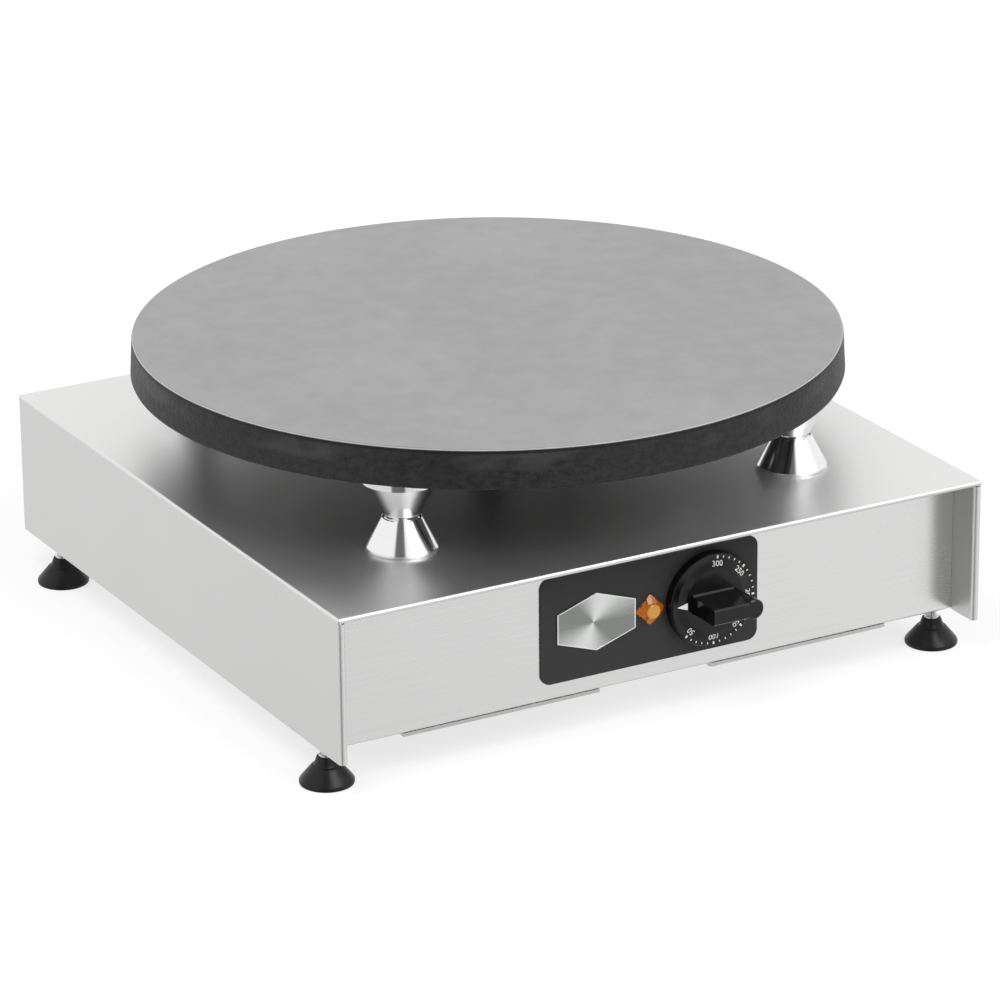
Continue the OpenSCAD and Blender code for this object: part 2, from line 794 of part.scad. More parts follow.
module baking_plate() {
    rim_face = plate_d / 2;
    color(CAST) in_frame()
    difference() {
        union() {
            rotate_extrude($fn = 180)
                polygon([
                    [0, z_web], [rim_r - rim_w, z_web], [rim_r - rim_w + 0.8, z_plate],
                    [rim_r - rim_edge, z_plate], [rim_r - 0.3 * rim_edge, z_plate + 0.3 * rim_edge],
                    [rim_r, z_plate + rim_edge], [rim_face + 0.4, z_cook - rim_edge],
                    [rim_face + 0.1, z_cook - 0.35 * rim_edge], [rim_face - 0.5 * rim_edge, z_cook],
                    [0, z_cook]
                ]);
            for (x = SIDES, y = SIDES)
                translate([x * spacer_x, y * spacer_y, z_plate])
                    cylinder(r = boss_r, h = plate_t - plate_web + 2);
        }
        for (x = SIDES, y = SIDES)
            translate([x * spacer_x, y * spacer_y, z_plate - 1])
                cylinder(r = bolt_r + play, h = bolt_grip + 2);
        for (k = [0 : 2])
            rotate([0, 0, 60 + 120 * k])
                translate([stud_circle_r, 0, z_web - 1]) cylinder(r = stud_r + play, h = 10);
    }
}

function ring_r(i) = ring_first + i * ring_step;

module ring_arc(r) {
    rotate([0, 0, ring_gap / 2])
        rotate_extrude(angle = 360 - ring_gap) translate([r, 0]) circle(element_r, $fn = 32);
}

module ring_turn(r, angle, flip) {
    rotate([0, 0, angle])
        translate([r, 0, 0])
            rotate([0, 0, flip ? 180 : 0])
                rotate_extrude(angle = 180) translate([ring_step / 2, 0]) circle(element_r, $fn = 32);
}

// End of the element: an elbow turning down into its terminal pin
module ring_end(r) {
    rotate([0, 0, ring_gap / 2])
        translate([r, 0, 0]) {
            translate([0, 0, -elbow_r])
                rotate([180, -90, 0])
                    rotate_extrude(angle = 90) translate([elbow_r, 0]) circle(element_r, $fn = 32);
            translate([0, -elbow_r, -elbow_r - terminal_drop])
                cylinder(r = terminal_r, h = terminal_drop + 0.5);
        }
}

module heating_element() {
    color(COPPER) in_frame()
    translate([0, 0, z_ring]) {
        for (i = [0 : ring_count - 1]) ring_arc(ring_r(i));
        ring_turn(ring_r(2.5), -ring_gap / 2, false);
        ring_turn(ring_r(1.5), ring_gap / 2, true);
        ring_turn(ring_r(0.5), -ring_gap / 2, false);
        ring_end(ring_first);
        ring_end(ring_last);
    }
}

// Slot that the element's terminals and leads share
module lead_slot(z, h) {
    rotate([0, 0, ring_gap / 2])
        translate([0, slot_offset, z]) cube([pan_r, lead_slot_w, h]);
}

module heater_layer(r, z, t) {
    difference() {
        translate([0, 0, z]) cylinder(r = r, h = t);
        translate([0, 0, z - 1]) cylinder(r = conduit_r + 3, h = t + 2);
        lead_slot(z - 1, t + 2);
        for (k = [0 : 2])
            rotate([0, 0, 60 + 120 * k])
                translate([stud_circle_r, 0, z - 1]) cylinder(r = stud_r + hole_play, h = t + 2);
    }
}

module press_plate() {
    color(ZINC) in_frame() heater_layer(pan_r - pan_t - 1, z_press, press_t);
}

module insulation_disc() {
    color(WOOL) in_frame() heater_layer(pan_r - pan_t - 1.3, z_insulation, insulation_t);
}

module heater_pan() {
    lip_w = 2.4;
    color(ZINC) in_frame()
    difference() {
        rotate_extrude($fn = 128)
            polygon([
                [conduit_r + play, z_pan], [pan_r - 1.5, z_pan], [pan_r, z_pan + 1.5],
                [pan_r, z_web - stack_gap], [pan_r - lip_w, z_web - stack_gap],
                [pan_r - lip_w, z_web - stack_gap - 1], [pan_r - pan_t, z_web - stack_gap - 1],
                [pan_r - pan_t, z_pan + 2],
                [pan_r - 2, z_pan + pan_t], [conduit_r + play, z_pan + pan_t]
            ]);
        for (k = [0 : 2])
            rotate([0, 0, 60 + 120 * k])
                translate([stud_circle_r, 0, z_pan - 1]) cylinder(r = stud_r + hole_play, h = pan_t + 2);
    }
}

module pan_studs() {
    tail = 6;
    color(ZINC) in_frame()
    for (k = [0 : 2])
        rotate([0, 0, 60 + 120 * k])
            translate([stud_circle_r, 0, z_pan - tail]) cylinder(r = stud_r, h = z_web - z_pan + tail + 8);
}

module pan_nuts() {
    color(ZINC) in_frame()
    for (k = [0 : 2])
        rotate([0, 0, 60 + 120 * k])
            translate([stud_circle_r, 0, z_pan - 5]) {
                hex_nut(nut_af, stud_r + play, 4);
                translate([0, 0, 4])
                    difference() {
                        cylinder(r = 7, h = 1);
                        translate([0, 0, -1]) cylinder(r = stud_r + play, h = 3);
                    }
            }
}

module wiring_conduit() {
    color(ZINC) in_frame()
    difference() {
        translate([0, 0, z_conduit_low]) cylinder(r = conduit_r, h = z_conduit_top - z_conduit_low);
        translate([0, 0, z_conduit_low - 1])
            cylinder(r = conduit_bore_r, h = z_conduit_top - z_conduit_low + 2);
    }
}

module conduit_nuts() {
    color(ZINC) in_frame()
    for (z = [z_pan - nut_t, z_top, z_top - sheet_t - nut_t])
        translate([0, 0, z]) hex_nut(conduit_nut_af, conduit_r + play, nut_t);
}

// ---- Capillary, bulb and wires

module sensor_bulb() {
    color(COPPER) in_frame()
    translate([bulb_x, 0, bulb_z]) {
        along_y(-bulb_l / 2, bulb_l / 2) circle(bulb_r);
        along_y(bulb_l / 2 - 0.5, bulb_l / 2 + 3) circle(capillary_r + 0.6);
    }
}

// Sheet clip that holds the bulb against the plate
module bulb_clip() {
    strap_t = 0.8;
    outer = bulb_r + play + strap_t;
    color(ZINC) in_frame()
    translate([bulb_x, 0, bulb_z])
        along_y(-6, 6)
            difference() {
                union() {
                    circle(outer);
                    translate([-outer, 0]) square([2 * outer, bulb_r]);
                    translate([-outer - 6, bulb_r - strap_t]) square([2 * outer + 12, strap_t]);
                }
                circle(bulb_r + play);
                translate([-bulb_r - play, 0]) square([2 * (bulb_r + play), bulb_r + 2]);
                translate([-outer - 7, bulb_r]) square([2 * outer + 14, bulb_r]);
            }
}

module capillary_tube() {
    end_y = bulb_l / 2 + 3;
    cap_y = thermostat_back_y + thermostat_cap_h;
    route = [
        [bulb_x, end_y, bulb_z], [bulb_x, end_y + 2, bulb_z], [bulb_x, end_y + 4, bulb_z],
        [bulb_x + 4, end_y + 7, z_web - 5], [-11, 30, z_web - 7], [-5, 14, z_web - 7.2],
        [-4.6, 10.5, z_web - 7.2],
        [-4.5, 7.4, z_web - 9.2], [-4.5, 4, z_web - 14], [-4.5, 1, z_pan], [-4.5, 0, z_pan - 10],
        [-4.5, 0, z_top + 4], [-4.5, 0, z_conduit_low - 4], [-2, -8, z_conduit_low - 14],
        [10, -40, z_dial + 20], [dial_x - 14, cap_y + 34, z_dial + 14], [dial_x - 2, cap_y + 16, z_dial + 3],
        [dial_x, cap_y + 7, z_dial], [dial_x, cap_y + 3, z_dial], [dial_x, cap_y, z_dial]
    ];
    color(COPPER) in_frame() swept_tube(spline(route, 4), capillary_r);
}

// A point in the slot of the element's leads: distance out, across, height
function in_slot(out, across, z) = [
    out * cos(ring_gap / 2) - across * sin(ring_gap / 2),
    out * sin(ring_gap / 2) + across * cos(ring_gap / 2),
    z
];

// Straight end of a wire, on a blade of the thermostat
function to_blade(side, z) =
    [for (d = [16, 8, 4, 0]) [dial_x + side * blade_x, thermostat_back_y + blade_l + d, z_dial + z]];

// Straight end of a wire, on the front of a terminal's pole
function to_pole(k) = [
    for (d = [16, 8, 4, 0])
        [terminal_x + k * terminal_pole_pitch, terminal_y - terminal_d / 2 - d, z_wall + terminal_bore_z]
];

module heater_leads() {
    color(SLEEVE) in_frame() {
        // From the outer terminal to the mains terminals
        swept_tube(
            spline(concat([
                in_slot(ring_last, -elbow_r, z_lead), in_slot(ring_last - ring_step, -8, z_lead),
                in_slot(60, -1.5, z_lead), in_slot(40, -1, z_lead),
                [13, 4, z_lead], [9, 3, z_lead + 1], [5.6, 2.3, z_lead - 0.6],
                [4.2, 2, z_pan - 3], [4.2, 2, z_pan - 20], [4.2, 2, z_top + 4], [4.2, 2, z_conduit_low - 3],
                [1, 12, z_conduit_low - 14], [-22, 50, z_wall + 52], [-54, 86, z_wall + 32]
            ], to_pole(0)), 4), lead_r);
        // From the inner terminal to the thermostat
        swept_tube(
            spline(concat([
                in_slot(ring_first, -elbow_r, z_lead), in_slot(ring_first - 8, -9, z_lead),
                in_slot(28, -10, z_lead), [14, -4.3, z_lead], [9, -4.2, z_lead + 1],
                [4.9, -3.5, z_lead - 0.6], [3.6, -3.2, z_pan - 3],
                [3.6, -3.2, z_pan - 20], [3.6, -3.2, z_top + 4], [3.6, -3.2, z_conduit_low - 3],
                [10, -14, z_conduit_low - 14], [dial_x + 12, thermostat_back_y + 44, z_dial + 14]
            ], to_blade(1, blade_high)), 4), lead_r);
    }
}

module mains_wires() {
    pole = to_pole(1);
    color(BLACK) in_frame()
        swept_tube(
            spline(concat(
                [for (i = [len(pole) - 1 : -1 : 0]) pole[i]],
                [[-48, 76, z_wall + 20], [-20, 20, z_wall + 26], [dial_x - 34, -60, z_wall + 30],
                    [dial_x - 17, thermostat_back_y + 44, z_dial - 5]],
                to_blade(-1, blade_low)
            ), 4), lead_r);
}

// ---- Spacers

module spacer_base(x, y) {
    edge = 0.9;
    color(TURNED) in_frame()
    translate([x * spacer_x, y * spacer_y, z_top])
        rotate_extrude()
            polygon([
                [bolt_r + hole_play, 0], [spacer_foot_r - edge, 0], [spacer_foot_r, edge],
                [spacer_foot_r, edge + 1], [spacer_ledge_r, spacer_base_h - 0.4],
                [spacer_ledge_r - 0.5, spacer_base_h],
                [bolt_r + hole_play, spacer_base_h]
            ]);
}

module spacer_cone(x, y) {
    cone_h = spacer_h - spacer_base_h;
    color(TURNED) in_frame()
    translate([x * spacer_x, y * spacer_y, z_top + spacer_base_h])
        rotate_extrude()
            polygon([
                [bolt_r + hole_play, 0], [spacer_waist_r, 0],
                [spacer_flare_r, cone_h - spacer_lip_h], [spacer_lip_r, cone_h - spacer_lip_h + 0.4],
                [spacer_lip_r, cone_h - 0.4],
                [spacer_lip_r - 0.4, cone_h], [bolt_r + hole_play, cone_h]
            ]);
}

module spacer_bolts() {
    head_h = 8;
    head_r = 6.5;
    head_z = z_top - sheet_t - washer_t;
    color(ZINC) in_frame()
    for (x = SIDES, y = SIDES)
        translate([x * spacer_x, y * spacer_y, head_z])
            difference() {
                union() {
                    cylinder(r = bolt_r, h = z_plate + bolt_grip - head_z);
                    translate([0, 0, -head_h]) cylinder(r = head_r, h = head_h);
                }
                translate([0, 0, -head_h - 1]) hexagon(6, head_h / 2 + 1);
            }
}

module spacer_washers() {
    color(ZINC) in_frame()
    for (x = SIDES, y = SIDES)
        translate([x * spacer_x, y * spacer_y, z_top - sheet_t - washer_t])
            difference() {
                cylinder(r = 8, h = washer_t);
                translate([0, 0, -1]) cylinder(r = bolt_r + hole_play, h = washer_t + 2);
            }
}

// ---- Feet

module foot_pad(x, y) {
    hollow_r = 10;
    color(BLACK) in_frame()
    translate([x * foot_x, y * foot_y, 0])
        rotate_extrude()
            polygon([
                [0, 1], [hollow_r - 1, 1], [hollow_r, 0], [pad_r - 0.7, 0], [pad_r, 0.8], [pad_r, pad_edge_h],
                [pad_r - 1.1, pad_edge_h + 1.7], [pad_r - 3, collar_z - 3.2], [pad_r - 5.2, collar_z - 1.2],
                [collar_r + 1.6, collar_z], [collar_r + 0.5, collar_z + 0.2], [collar_r, pad_h - 0.6],
                [collar_r - 0.6, pad_h], [foot_stud_r + play, pad_h], [foot_stud_r + play, stud_seat],
                [0, stud_seat]
            ]);
}

module foot_stud(x, y) {
    color(ZINC) in_frame()
    translate([x * foot_x, y * foot_y, stud_seat])
        rotate_extrude()
            polygon([
                [0, 0], [foot_stud_r, 0], [foot_stud_r, stud_top - stud_seat - 0.7],
                [foot_stud_r - 0.7, stud_top - stud_seat], [0, stud_top - stud_seat]
            ]);
}

// ---- Cable entry and electrics

module cable_gland() {
    hex_h = 6;
    dome_h = gland_reach - hex_h;
    color(BLACK) in_frame()
    at_rear(gland_x, gland_z)
        difference() {
            union() {
                hexagon(24, hex_h);
                translate([0, 0, hex_h]) cylinder(r = 11, h = dome_h - 5);
                translate([0, 0, gland_reach - 5]) cylinder(r1 = 11, r2 = 7.5, h = 5);
                translate([0, 0, -sheet_t - 8]) cylinder(r = gland_r, h = sheet_t + 8.5);
            }
            translate([0, 0, -sheet_t - 9]) cylinder(r = cable_r, h = gland_reach + sheet_t + 10);
        }
}

module gland_locknut() {
    color(BLACK) in_frame()
    at_rear(gland_x, gland_z)
        translate([0, 0, -sheet_t - 5]) hex_nut(26, gland_r + play, 5);
}

module terminal_block() {
    block_w = 40;
    block_h = 20;
    web_h = 14;
    pole_w = 11;
    color(CERAMIC) in_frame()
    translate([terminal_x, terminal_y, z_wall])
        difference() {
            union() {
                translate([-block_w / 2, -terminal_d / 2, 0]) cube([block_w, terminal_d, web_h]);
                for (k = [-1, 0, 1])
                    translate([k * terminal_pole_pitch - pole_w / 2, -terminal_d / 2, 0])
                        cube([pole_w, terminal_d, block_h]);
            }
            translate([0, 0, -1]) cylinder(r = screw_r + play, h = 5);
            for (k = [-1, 0, 1], s = SIDES)
                translate([k * terminal_pole_pitch, s * 7, block_h - 5]) cylinder(r = 2.6, h = 6);
            for (k = [-1, 0, 1])
                translate([k * terminal_pole_pitch, terminal_d / 2 + 1, terminal_bore_z])
                    rotate([90, 0, 0]) cylinder(r = 2.2, h = 5);
        }
}

module earth_screw() {
    color(ZINC) in_frame()
    translate([earth_x, earth_y, z_wall + 2.5]) {
        mirror([0, 0, 1]) pan_screw(screw_l);
        translate([0, 0, -2.5]) hex_nut(8, screw_r + play, 2.5);
    }
}

// Bimetal disc that cuts the heater off when the housing's top gets too hot
module overheat_cutout() {
    color(CERAMIC) in_frame()
    translate([60, 40, z_top - sheet_t]) {
        translate([0, 0, -2]) cylinder(r = 9, h = 2);
        translate([0, 0, -11]) cylinder(r = 7.8, h = 9.5);
        for (s = SIDES) translate([s * 4 - 3, -0.4, -18]) cube([6, 0.8, 7.5]);
    }
}

// ---- The sub-parts
body_cover();
front_panel();
rear_panel();
base_plate();
base_screws();
foot_nuts();
fascia_plate();
badge_plate();
pilot_lamp_lens();
pilot_lamp_body();
pilot_lamp_nut();
thermostat_knob();
thermostat_shaft();
thermostat_body();
thermostat_screws();
capillary_tube();
sensor_bulb();
bulb_clip();
baking_plate();
heating_element();
press_plate();
insulation_disc();
heater_pan();
pan_studs();
pan_nuts();
wiring_conduit();
conduit_nuts();
spacer_base(-1, -1);  // spacer_base_front_left
spacer_base(1, -1);  // spacer_base_front_right
spacer_base(-1, 1);  // spacer_base_rear_left
spacer_base(1, 1);  // spacer_base_rear_right
spacer_cone(-1, -1);  // spacer_cone_front_left
spacer_cone(1, -1);  // spacer_cone_front_right
spacer_cone(-1, 1);  // spacer_cone_rear_left
spacer_cone(1, 1);  // spacer_cone_rear_right
spacer_bolts();
spacer_washers();
foot_pad(-1, -1);  // foot_pad_front_left
foot_pad(1, -1);  // foot_pad_front_right
foot_pad(-1, 1);  // foot_pad_rear_left
foot_pad(1, 1);  // foot_pad_rear_right
foot_stud(-1, -1);  // foot_stud_front_left
foot_stud(1, -1);  // foot_stud_front_right
foot_stud(-1, 1);  // foot_stud_rear_left
foot_stud(1, 1);  // foot_stud_rear_right
cable_gland();
gland_locknut();
terminal_block();
earth_screw();
overheat_cutout();
heater_leads();
mains_wires();
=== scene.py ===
"""Finishes, markings and set of a single-plate electric crepe maker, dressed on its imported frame."""

import logging
import math
from dataclasses import dataclass
from enum import Enum

import bmesh
import bpy
from mathutils import Matrix, Vector


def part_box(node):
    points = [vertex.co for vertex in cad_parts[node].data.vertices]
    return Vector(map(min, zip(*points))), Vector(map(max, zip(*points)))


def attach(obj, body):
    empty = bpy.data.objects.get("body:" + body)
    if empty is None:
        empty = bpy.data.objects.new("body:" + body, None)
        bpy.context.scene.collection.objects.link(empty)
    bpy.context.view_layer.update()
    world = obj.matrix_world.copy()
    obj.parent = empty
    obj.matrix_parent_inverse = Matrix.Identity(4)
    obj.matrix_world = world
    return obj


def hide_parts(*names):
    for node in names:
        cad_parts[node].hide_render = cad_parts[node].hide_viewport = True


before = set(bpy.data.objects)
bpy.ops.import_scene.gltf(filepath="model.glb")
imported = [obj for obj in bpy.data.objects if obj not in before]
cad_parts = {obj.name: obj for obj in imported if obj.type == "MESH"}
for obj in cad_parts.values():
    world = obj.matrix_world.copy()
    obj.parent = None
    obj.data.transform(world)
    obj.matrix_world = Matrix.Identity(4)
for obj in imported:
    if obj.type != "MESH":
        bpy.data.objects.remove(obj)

LOG = logging.getLogger("crepe_maker")
MM = 0.001
TURNED_SIDES = 72
SHARP_ANGLE = math.radians(28)

Colour = tuple[float, float, float]
Point = tuple[float, float, float]
Pair = tuple[float, float]

ORIGIN: Point = (0.0, 0.0, 0.0)


class Grain(Enum):
    """Run of a sheet's grain: how fast its lines change along each axis, in lines per metre."""

    ROUND_THE_SIDES = (5.0, 9000.0, 5.0)
    LEFT_TO_RIGHT = (5.0, 9000.0, 9000.0)


class Corner(Enum):
    """Corners of the housing, as the names of their pieces and bodies say them."""

    FRONT_LEFT = "front_left"
    FRONT_RIGHT = "front_right"
    REAR_LEFT = "rear_left"
    REAR_RIGHT = "rear_right"


# ---- Node graphs


def scaled(colour: Colour, share: float) -> Colour:
    """A colour made darker or paler."""
    return tuple(part * share for part in colour)


def rgba(colour: "Value | Colour") -> "Value | tuple[float, float, float, float]":
    """A colour with its alpha, and a link as it is."""
    return colour if isinstance(colour, Value) else (*colour, 1.0)


class Value:
    """A socket that turns arithmetic written on it into Math nodes."""

    def __init__(self, graph: "Graph", socket: bpy.types.NodeSocket | None) -> None:
        """Keeps the graph that the socket belongs to."""
        self.graph = graph
        self.socket = socket

    def function(self, operation: str, *others: "Value | float") -> "Value":
        """A Math node on the value, and on others where it takes them."""
        sockets = dict(enumerate((self, *others)))
        return self.graph.node("ShaderNodeMath", {"operation": operation}, sockets)

    def __add__(self, other: "Value | float") -> "Value":
        """Sum."""
        return self.function("ADD", other)

    __radd__ = __add__

    def __sub__(self, other: "Value | float") -> "Value":
        """Difference."""
        return self.function("SUBTRACT", other)

    def __rsub__(self, other: float) -> "Value":
        """Difference from a plain number."""
        return self.graph.node("ShaderNodeMath", {"operation": "SUBTRACT"}, {0: other, 1: self})

    def __mul__(self, other: "Value | float") -> "Value":
        """Product."""
        return self.function("MULTIPLY", other)

    __rmul__ = __mul__

    def __truediv__(self, other: "Value | float") -> "Value":
        """Quotient."""
        return self.function("DIVIDE", other)

    def __mod__(self, other: "Value | float") -> "Value":
        """Remainder."""
        return self.function("FLOORED_MODULO", other)

    def over(self, limit: float) -> "Value":
        """1 where the value is above the limit, and 0 elsewhere."""
        return self.function("GREATER_THAN", limit)

    def clear(self, low: float, high: float) -> "Value":
        """Share that rises from 0 at the low value to 1 at the high one, and stays between them."""
        sockets = {0: self, 1: low, 2: high, 3: 0.0, 4: 1.0}
        return self.graph.node("ShaderNodeMapRange", {"clamp": True}, sockets)

    def window(self, low: float, high: float, soft: float) -> "Value":
        """1 between two limits and 0 outside them, with edges as wide as soft says."""
        half = soft / 2
        return self.clear(low - half, low + half) * (1.0 - self.clear(high - half, high + half))


class Graph:
    """A node tree, with one call that adds any node to it."""

    def __init__(self, tree: bpy.types.NodeTree) -> None:
        """Empties the tree."""
        self.tree = tree
        tree.nodes.clear()

    def node(
        self,
        kind: str,
        settings: dict | None = None,
        inputs: dict | None = None,
        output: str | int = 0,
    ) -> Value:
        """Adds a node.

        Args:
            kind: The node's type.
            settings: What the node is set to, such as a Math node's operation.
            inputs: Values or links of its sockets, by name or number.
            output: Name or number of the socket to give back.

        Returns:
            The node's output.
        """
        made = self.tree.nodes.new(kind)
        for key, setting in (settings or {}).items():
            setattr(made, key, setting)
        for key, given in (inputs or {}).items():
            if isinstance(given, Value):
                self.tree.links.new(given.socket, made.inputs[key])
            else:
                made.inputs[key].default_value = given
        return Value(self, made.outputs[output] if len(made.outputs) else None)

    def output_of(self, made: Value, name: str | int) -> Value:
        """Another output of the node that a value comes from."""
        return Value(self, made.socket.node.outputs[name])

    def parts(self, vector: Value) -> tuple[Value, Value, Value]:
        """The three coordinates of a vector."""
        x = self.node("ShaderNodeSeparateXYZ", inputs={0: vector})
        return x, self.output_of(x, "Y"), self.output_of(x, "Z")


class Recipe(Graph):
    """A material's node tree, with the calls that the finishes share."""

    def __init__(self, name: str) -> None:
        """Makes an empty material.

        Args:
            name: The material's name.
        """
        self.material = bpy.data.materials.new(name)
        self.material.use_nodes = True
        super().__init__(self.material.node_tree)
        self.place = self.node("ShaderNodeTexCoord", output="Object")

    def along(self, frequency: Point, start: Point = ORIGIN) -> Value:
        """The place on the piece, measured from a start and stretched by a frequency per metre."""
        centred = self.node("ShaderNodeVectorMath", {"operation": "SUBTRACT"}, {0: self.place, 1: start})
        return self.node("ShaderNodeVectorMath", {"operation": "MULTIPLY"}, {0: centred, 1: frequency})

    def noise(
        self,
        frequency: Point | float,
        detail: float = 2.0,
        roughness: float = 0.5,
        start: Point = ORIGIN,
    ) -> Value:
        """Noise between 0 and 1.

        Args:
            frequency: How fast it runs along each axis, or along all three, per metre.
            detail: How many finer layers it has.
            roughness: How strong the finer layers are.
            start: Point of the frame that becomes the pattern's middle, in metres.

        Returns:
            The noise.
        """
        place = self.along(frequency if isinstance(frequency, tuple) else (frequency,) * 3, start)
        sockets = {"Vector": place, "Scale": 1.0, "Detail": detail, "Roughness": roughness}
        return self.node("ShaderNodeTexNoise", {"noise_dimensions": "3D"}, sockets)

    def line_noise(self, value: Value) -> Value:
        """Noise between 0 and 1 that runs along one value."""
        sockets = {"W": value, "Scale": 1.0, "Detail": 2.0}
        return self.node("ShaderNodeTexNoise", {"noise_dimensions": "1D"}, sockets)

    def radius(self, centre: Point, across: Point = (1.0, 1.0, 0.0)) -> Value:
        """Distance from an axis through a centre, in metres. The coordinates across it have a 1."""
        spread = self.along(across, centre)
        return self.node("ShaderNodeVectorMath", {"operation": "LENGTH"}, {0: spread}, output="Value")

    def blend(self, first: Value | Colour, second: Value | Colour, share: Value) -> Value:
        """A colour between two others."""
        sockets = {0: share, 6: rgba(first), 7: rgba(second)}
        return self.node("ShaderNodeMix", {"data_type": "RGBA"}, sockets, output=2)

    def tilted(self, grain: Grain, line: Value, slope: float) -> Value:
        """The surface's normal, rocked across the grain as each fine line of it is.

        Args:
            grain: Run of the grain.
            line: Noise between 0 and 1 that follows the grain.
            slope: Steepest slope of a line's flank.

        Returns:
            The normal.
        """
        facing = self.node("ShaderNodeNewGeometry", output="Normal")
        if grain is Grain.ROUND_THE_SIDES:
            across = self.node("ShaderNodeCombineXYZ", inputs={1: 1.0})
        else:
            sideways = {0: (1, 0, 0), 1: facing}
            across = self.node("ShaderNodeVectorMath", {"operation": "CROSS_PRODUCT"}, sideways)
        rock = (line - 0.5) * (4.0 * slope)
        leaning = self.node("ShaderNodeVectorMath", {"operation": "SCALE"}, {0: across, "Scale": rock})
        mixed = self.node("ShaderNodeVectorMath", {"operation": "ADD"}, {0: facing, 1: leaning})
        return self.node("ShaderNodeVectorMath", {"operation": "NORMALIZE"}, {0: mixed})

    def bump(self, height: Value, distance: float, strength: float = 1.0, **under: Value) -> Value:
        """Relief of a pattern raised by a distance in metres, on another relief's Normal if given."""
        sockets = {"Height": height, "Distance": distance, "Strength": strength, **under}
        return self.node("ShaderNodeBump", inputs=sockets)

    def finish(self, colour: Value, roughness: Value, others: dict) -> bpy.types.Material:
        """Closes the material with a Principled shader.

        Args:
            colour: Its base colour.
            roughness: Its roughness.
            others: Values or links of its other sockets.

        Returns:
            The material.
        """
        sockets = {"Base Color": colour, "Roughness": roughness, **others}
        shader = self.node("ShaderNodeBsdfPrincipled", inputs=sockets)
        self.node("ShaderNodeOutputMaterial", inputs={"Surface": shader})
        return self.material


# ---- Finishes


@dataclass(frozen=True)
class BrushedSheet:
    """Stainless sheet with a fine directional grain and a slight unevenness."""

    name: str
    grain: Grain
    tone: Colour = (0.85, 0.85, 0.845)
    roughness: float = 0.36
    slope: float = 0.010
    broad_lines: float = 12.0
    darker: float = 0.975

    def build(self) -> bpy.types.Material:
        """Makes the material.

        Returns:
            The material.
        """
        recipe = Recipe(self.name)
        fine = recipe.noise(self.grain.value, 1.0)
        broad = recipe.noise(tuple(lines / self.broad_lines for lines in self.grain.value))
        cloud = recipe.noise(14.0)
        mask = (broad * 0.7 + cloud * 0.3).clear(0.35, 0.62)
        colour = recipe.blend(scaled(self.tone, self.darker), self.tone, mask)
        rough = self.roughness + (broad - 0.5) * 0.04 + (cloud - 0.5) * 0.06
        normal = recipe.tilted(self.grain, fine, self.slope)
        return recipe.finish(colour, rough, {"Metallic": 1.0, "Normal": normal})


@dataclass(frozen=True)
class TurnedMetal:
    """Aluminium turned on a lathe, its fine grooves running round the vertical axis."""

    name: str
    tone: Colour = (0.90, 0.90, 0.905)
    roughness: float = 0.13
    grooves: float = 3500.0
    depth: float = 0.0004 * MM
    darker: float = 0.97

    def build(self) -> bpy.types.Material:
        """Makes the material.

        Returns:
            The material.
        """
        recipe = Recipe(self.name)
        rings = recipe.noise((3.0, 3.0, self.grooves))
        slow = recipe.noise((30.0, 30.0, 260.0))
        colour = recipe.blend(scaled(self.tone, self.darker), self.tone, rings.clear(0.3, 0.6))
        rough = self.roughness + (rings - 0.5) * 0.04 + (slow - 0.5) * 0.04
        normal = recipe.bump(rings, self.depth)
        return recipe.finish(colour, rough, {"Metallic": 1.0, "Normal": normal})


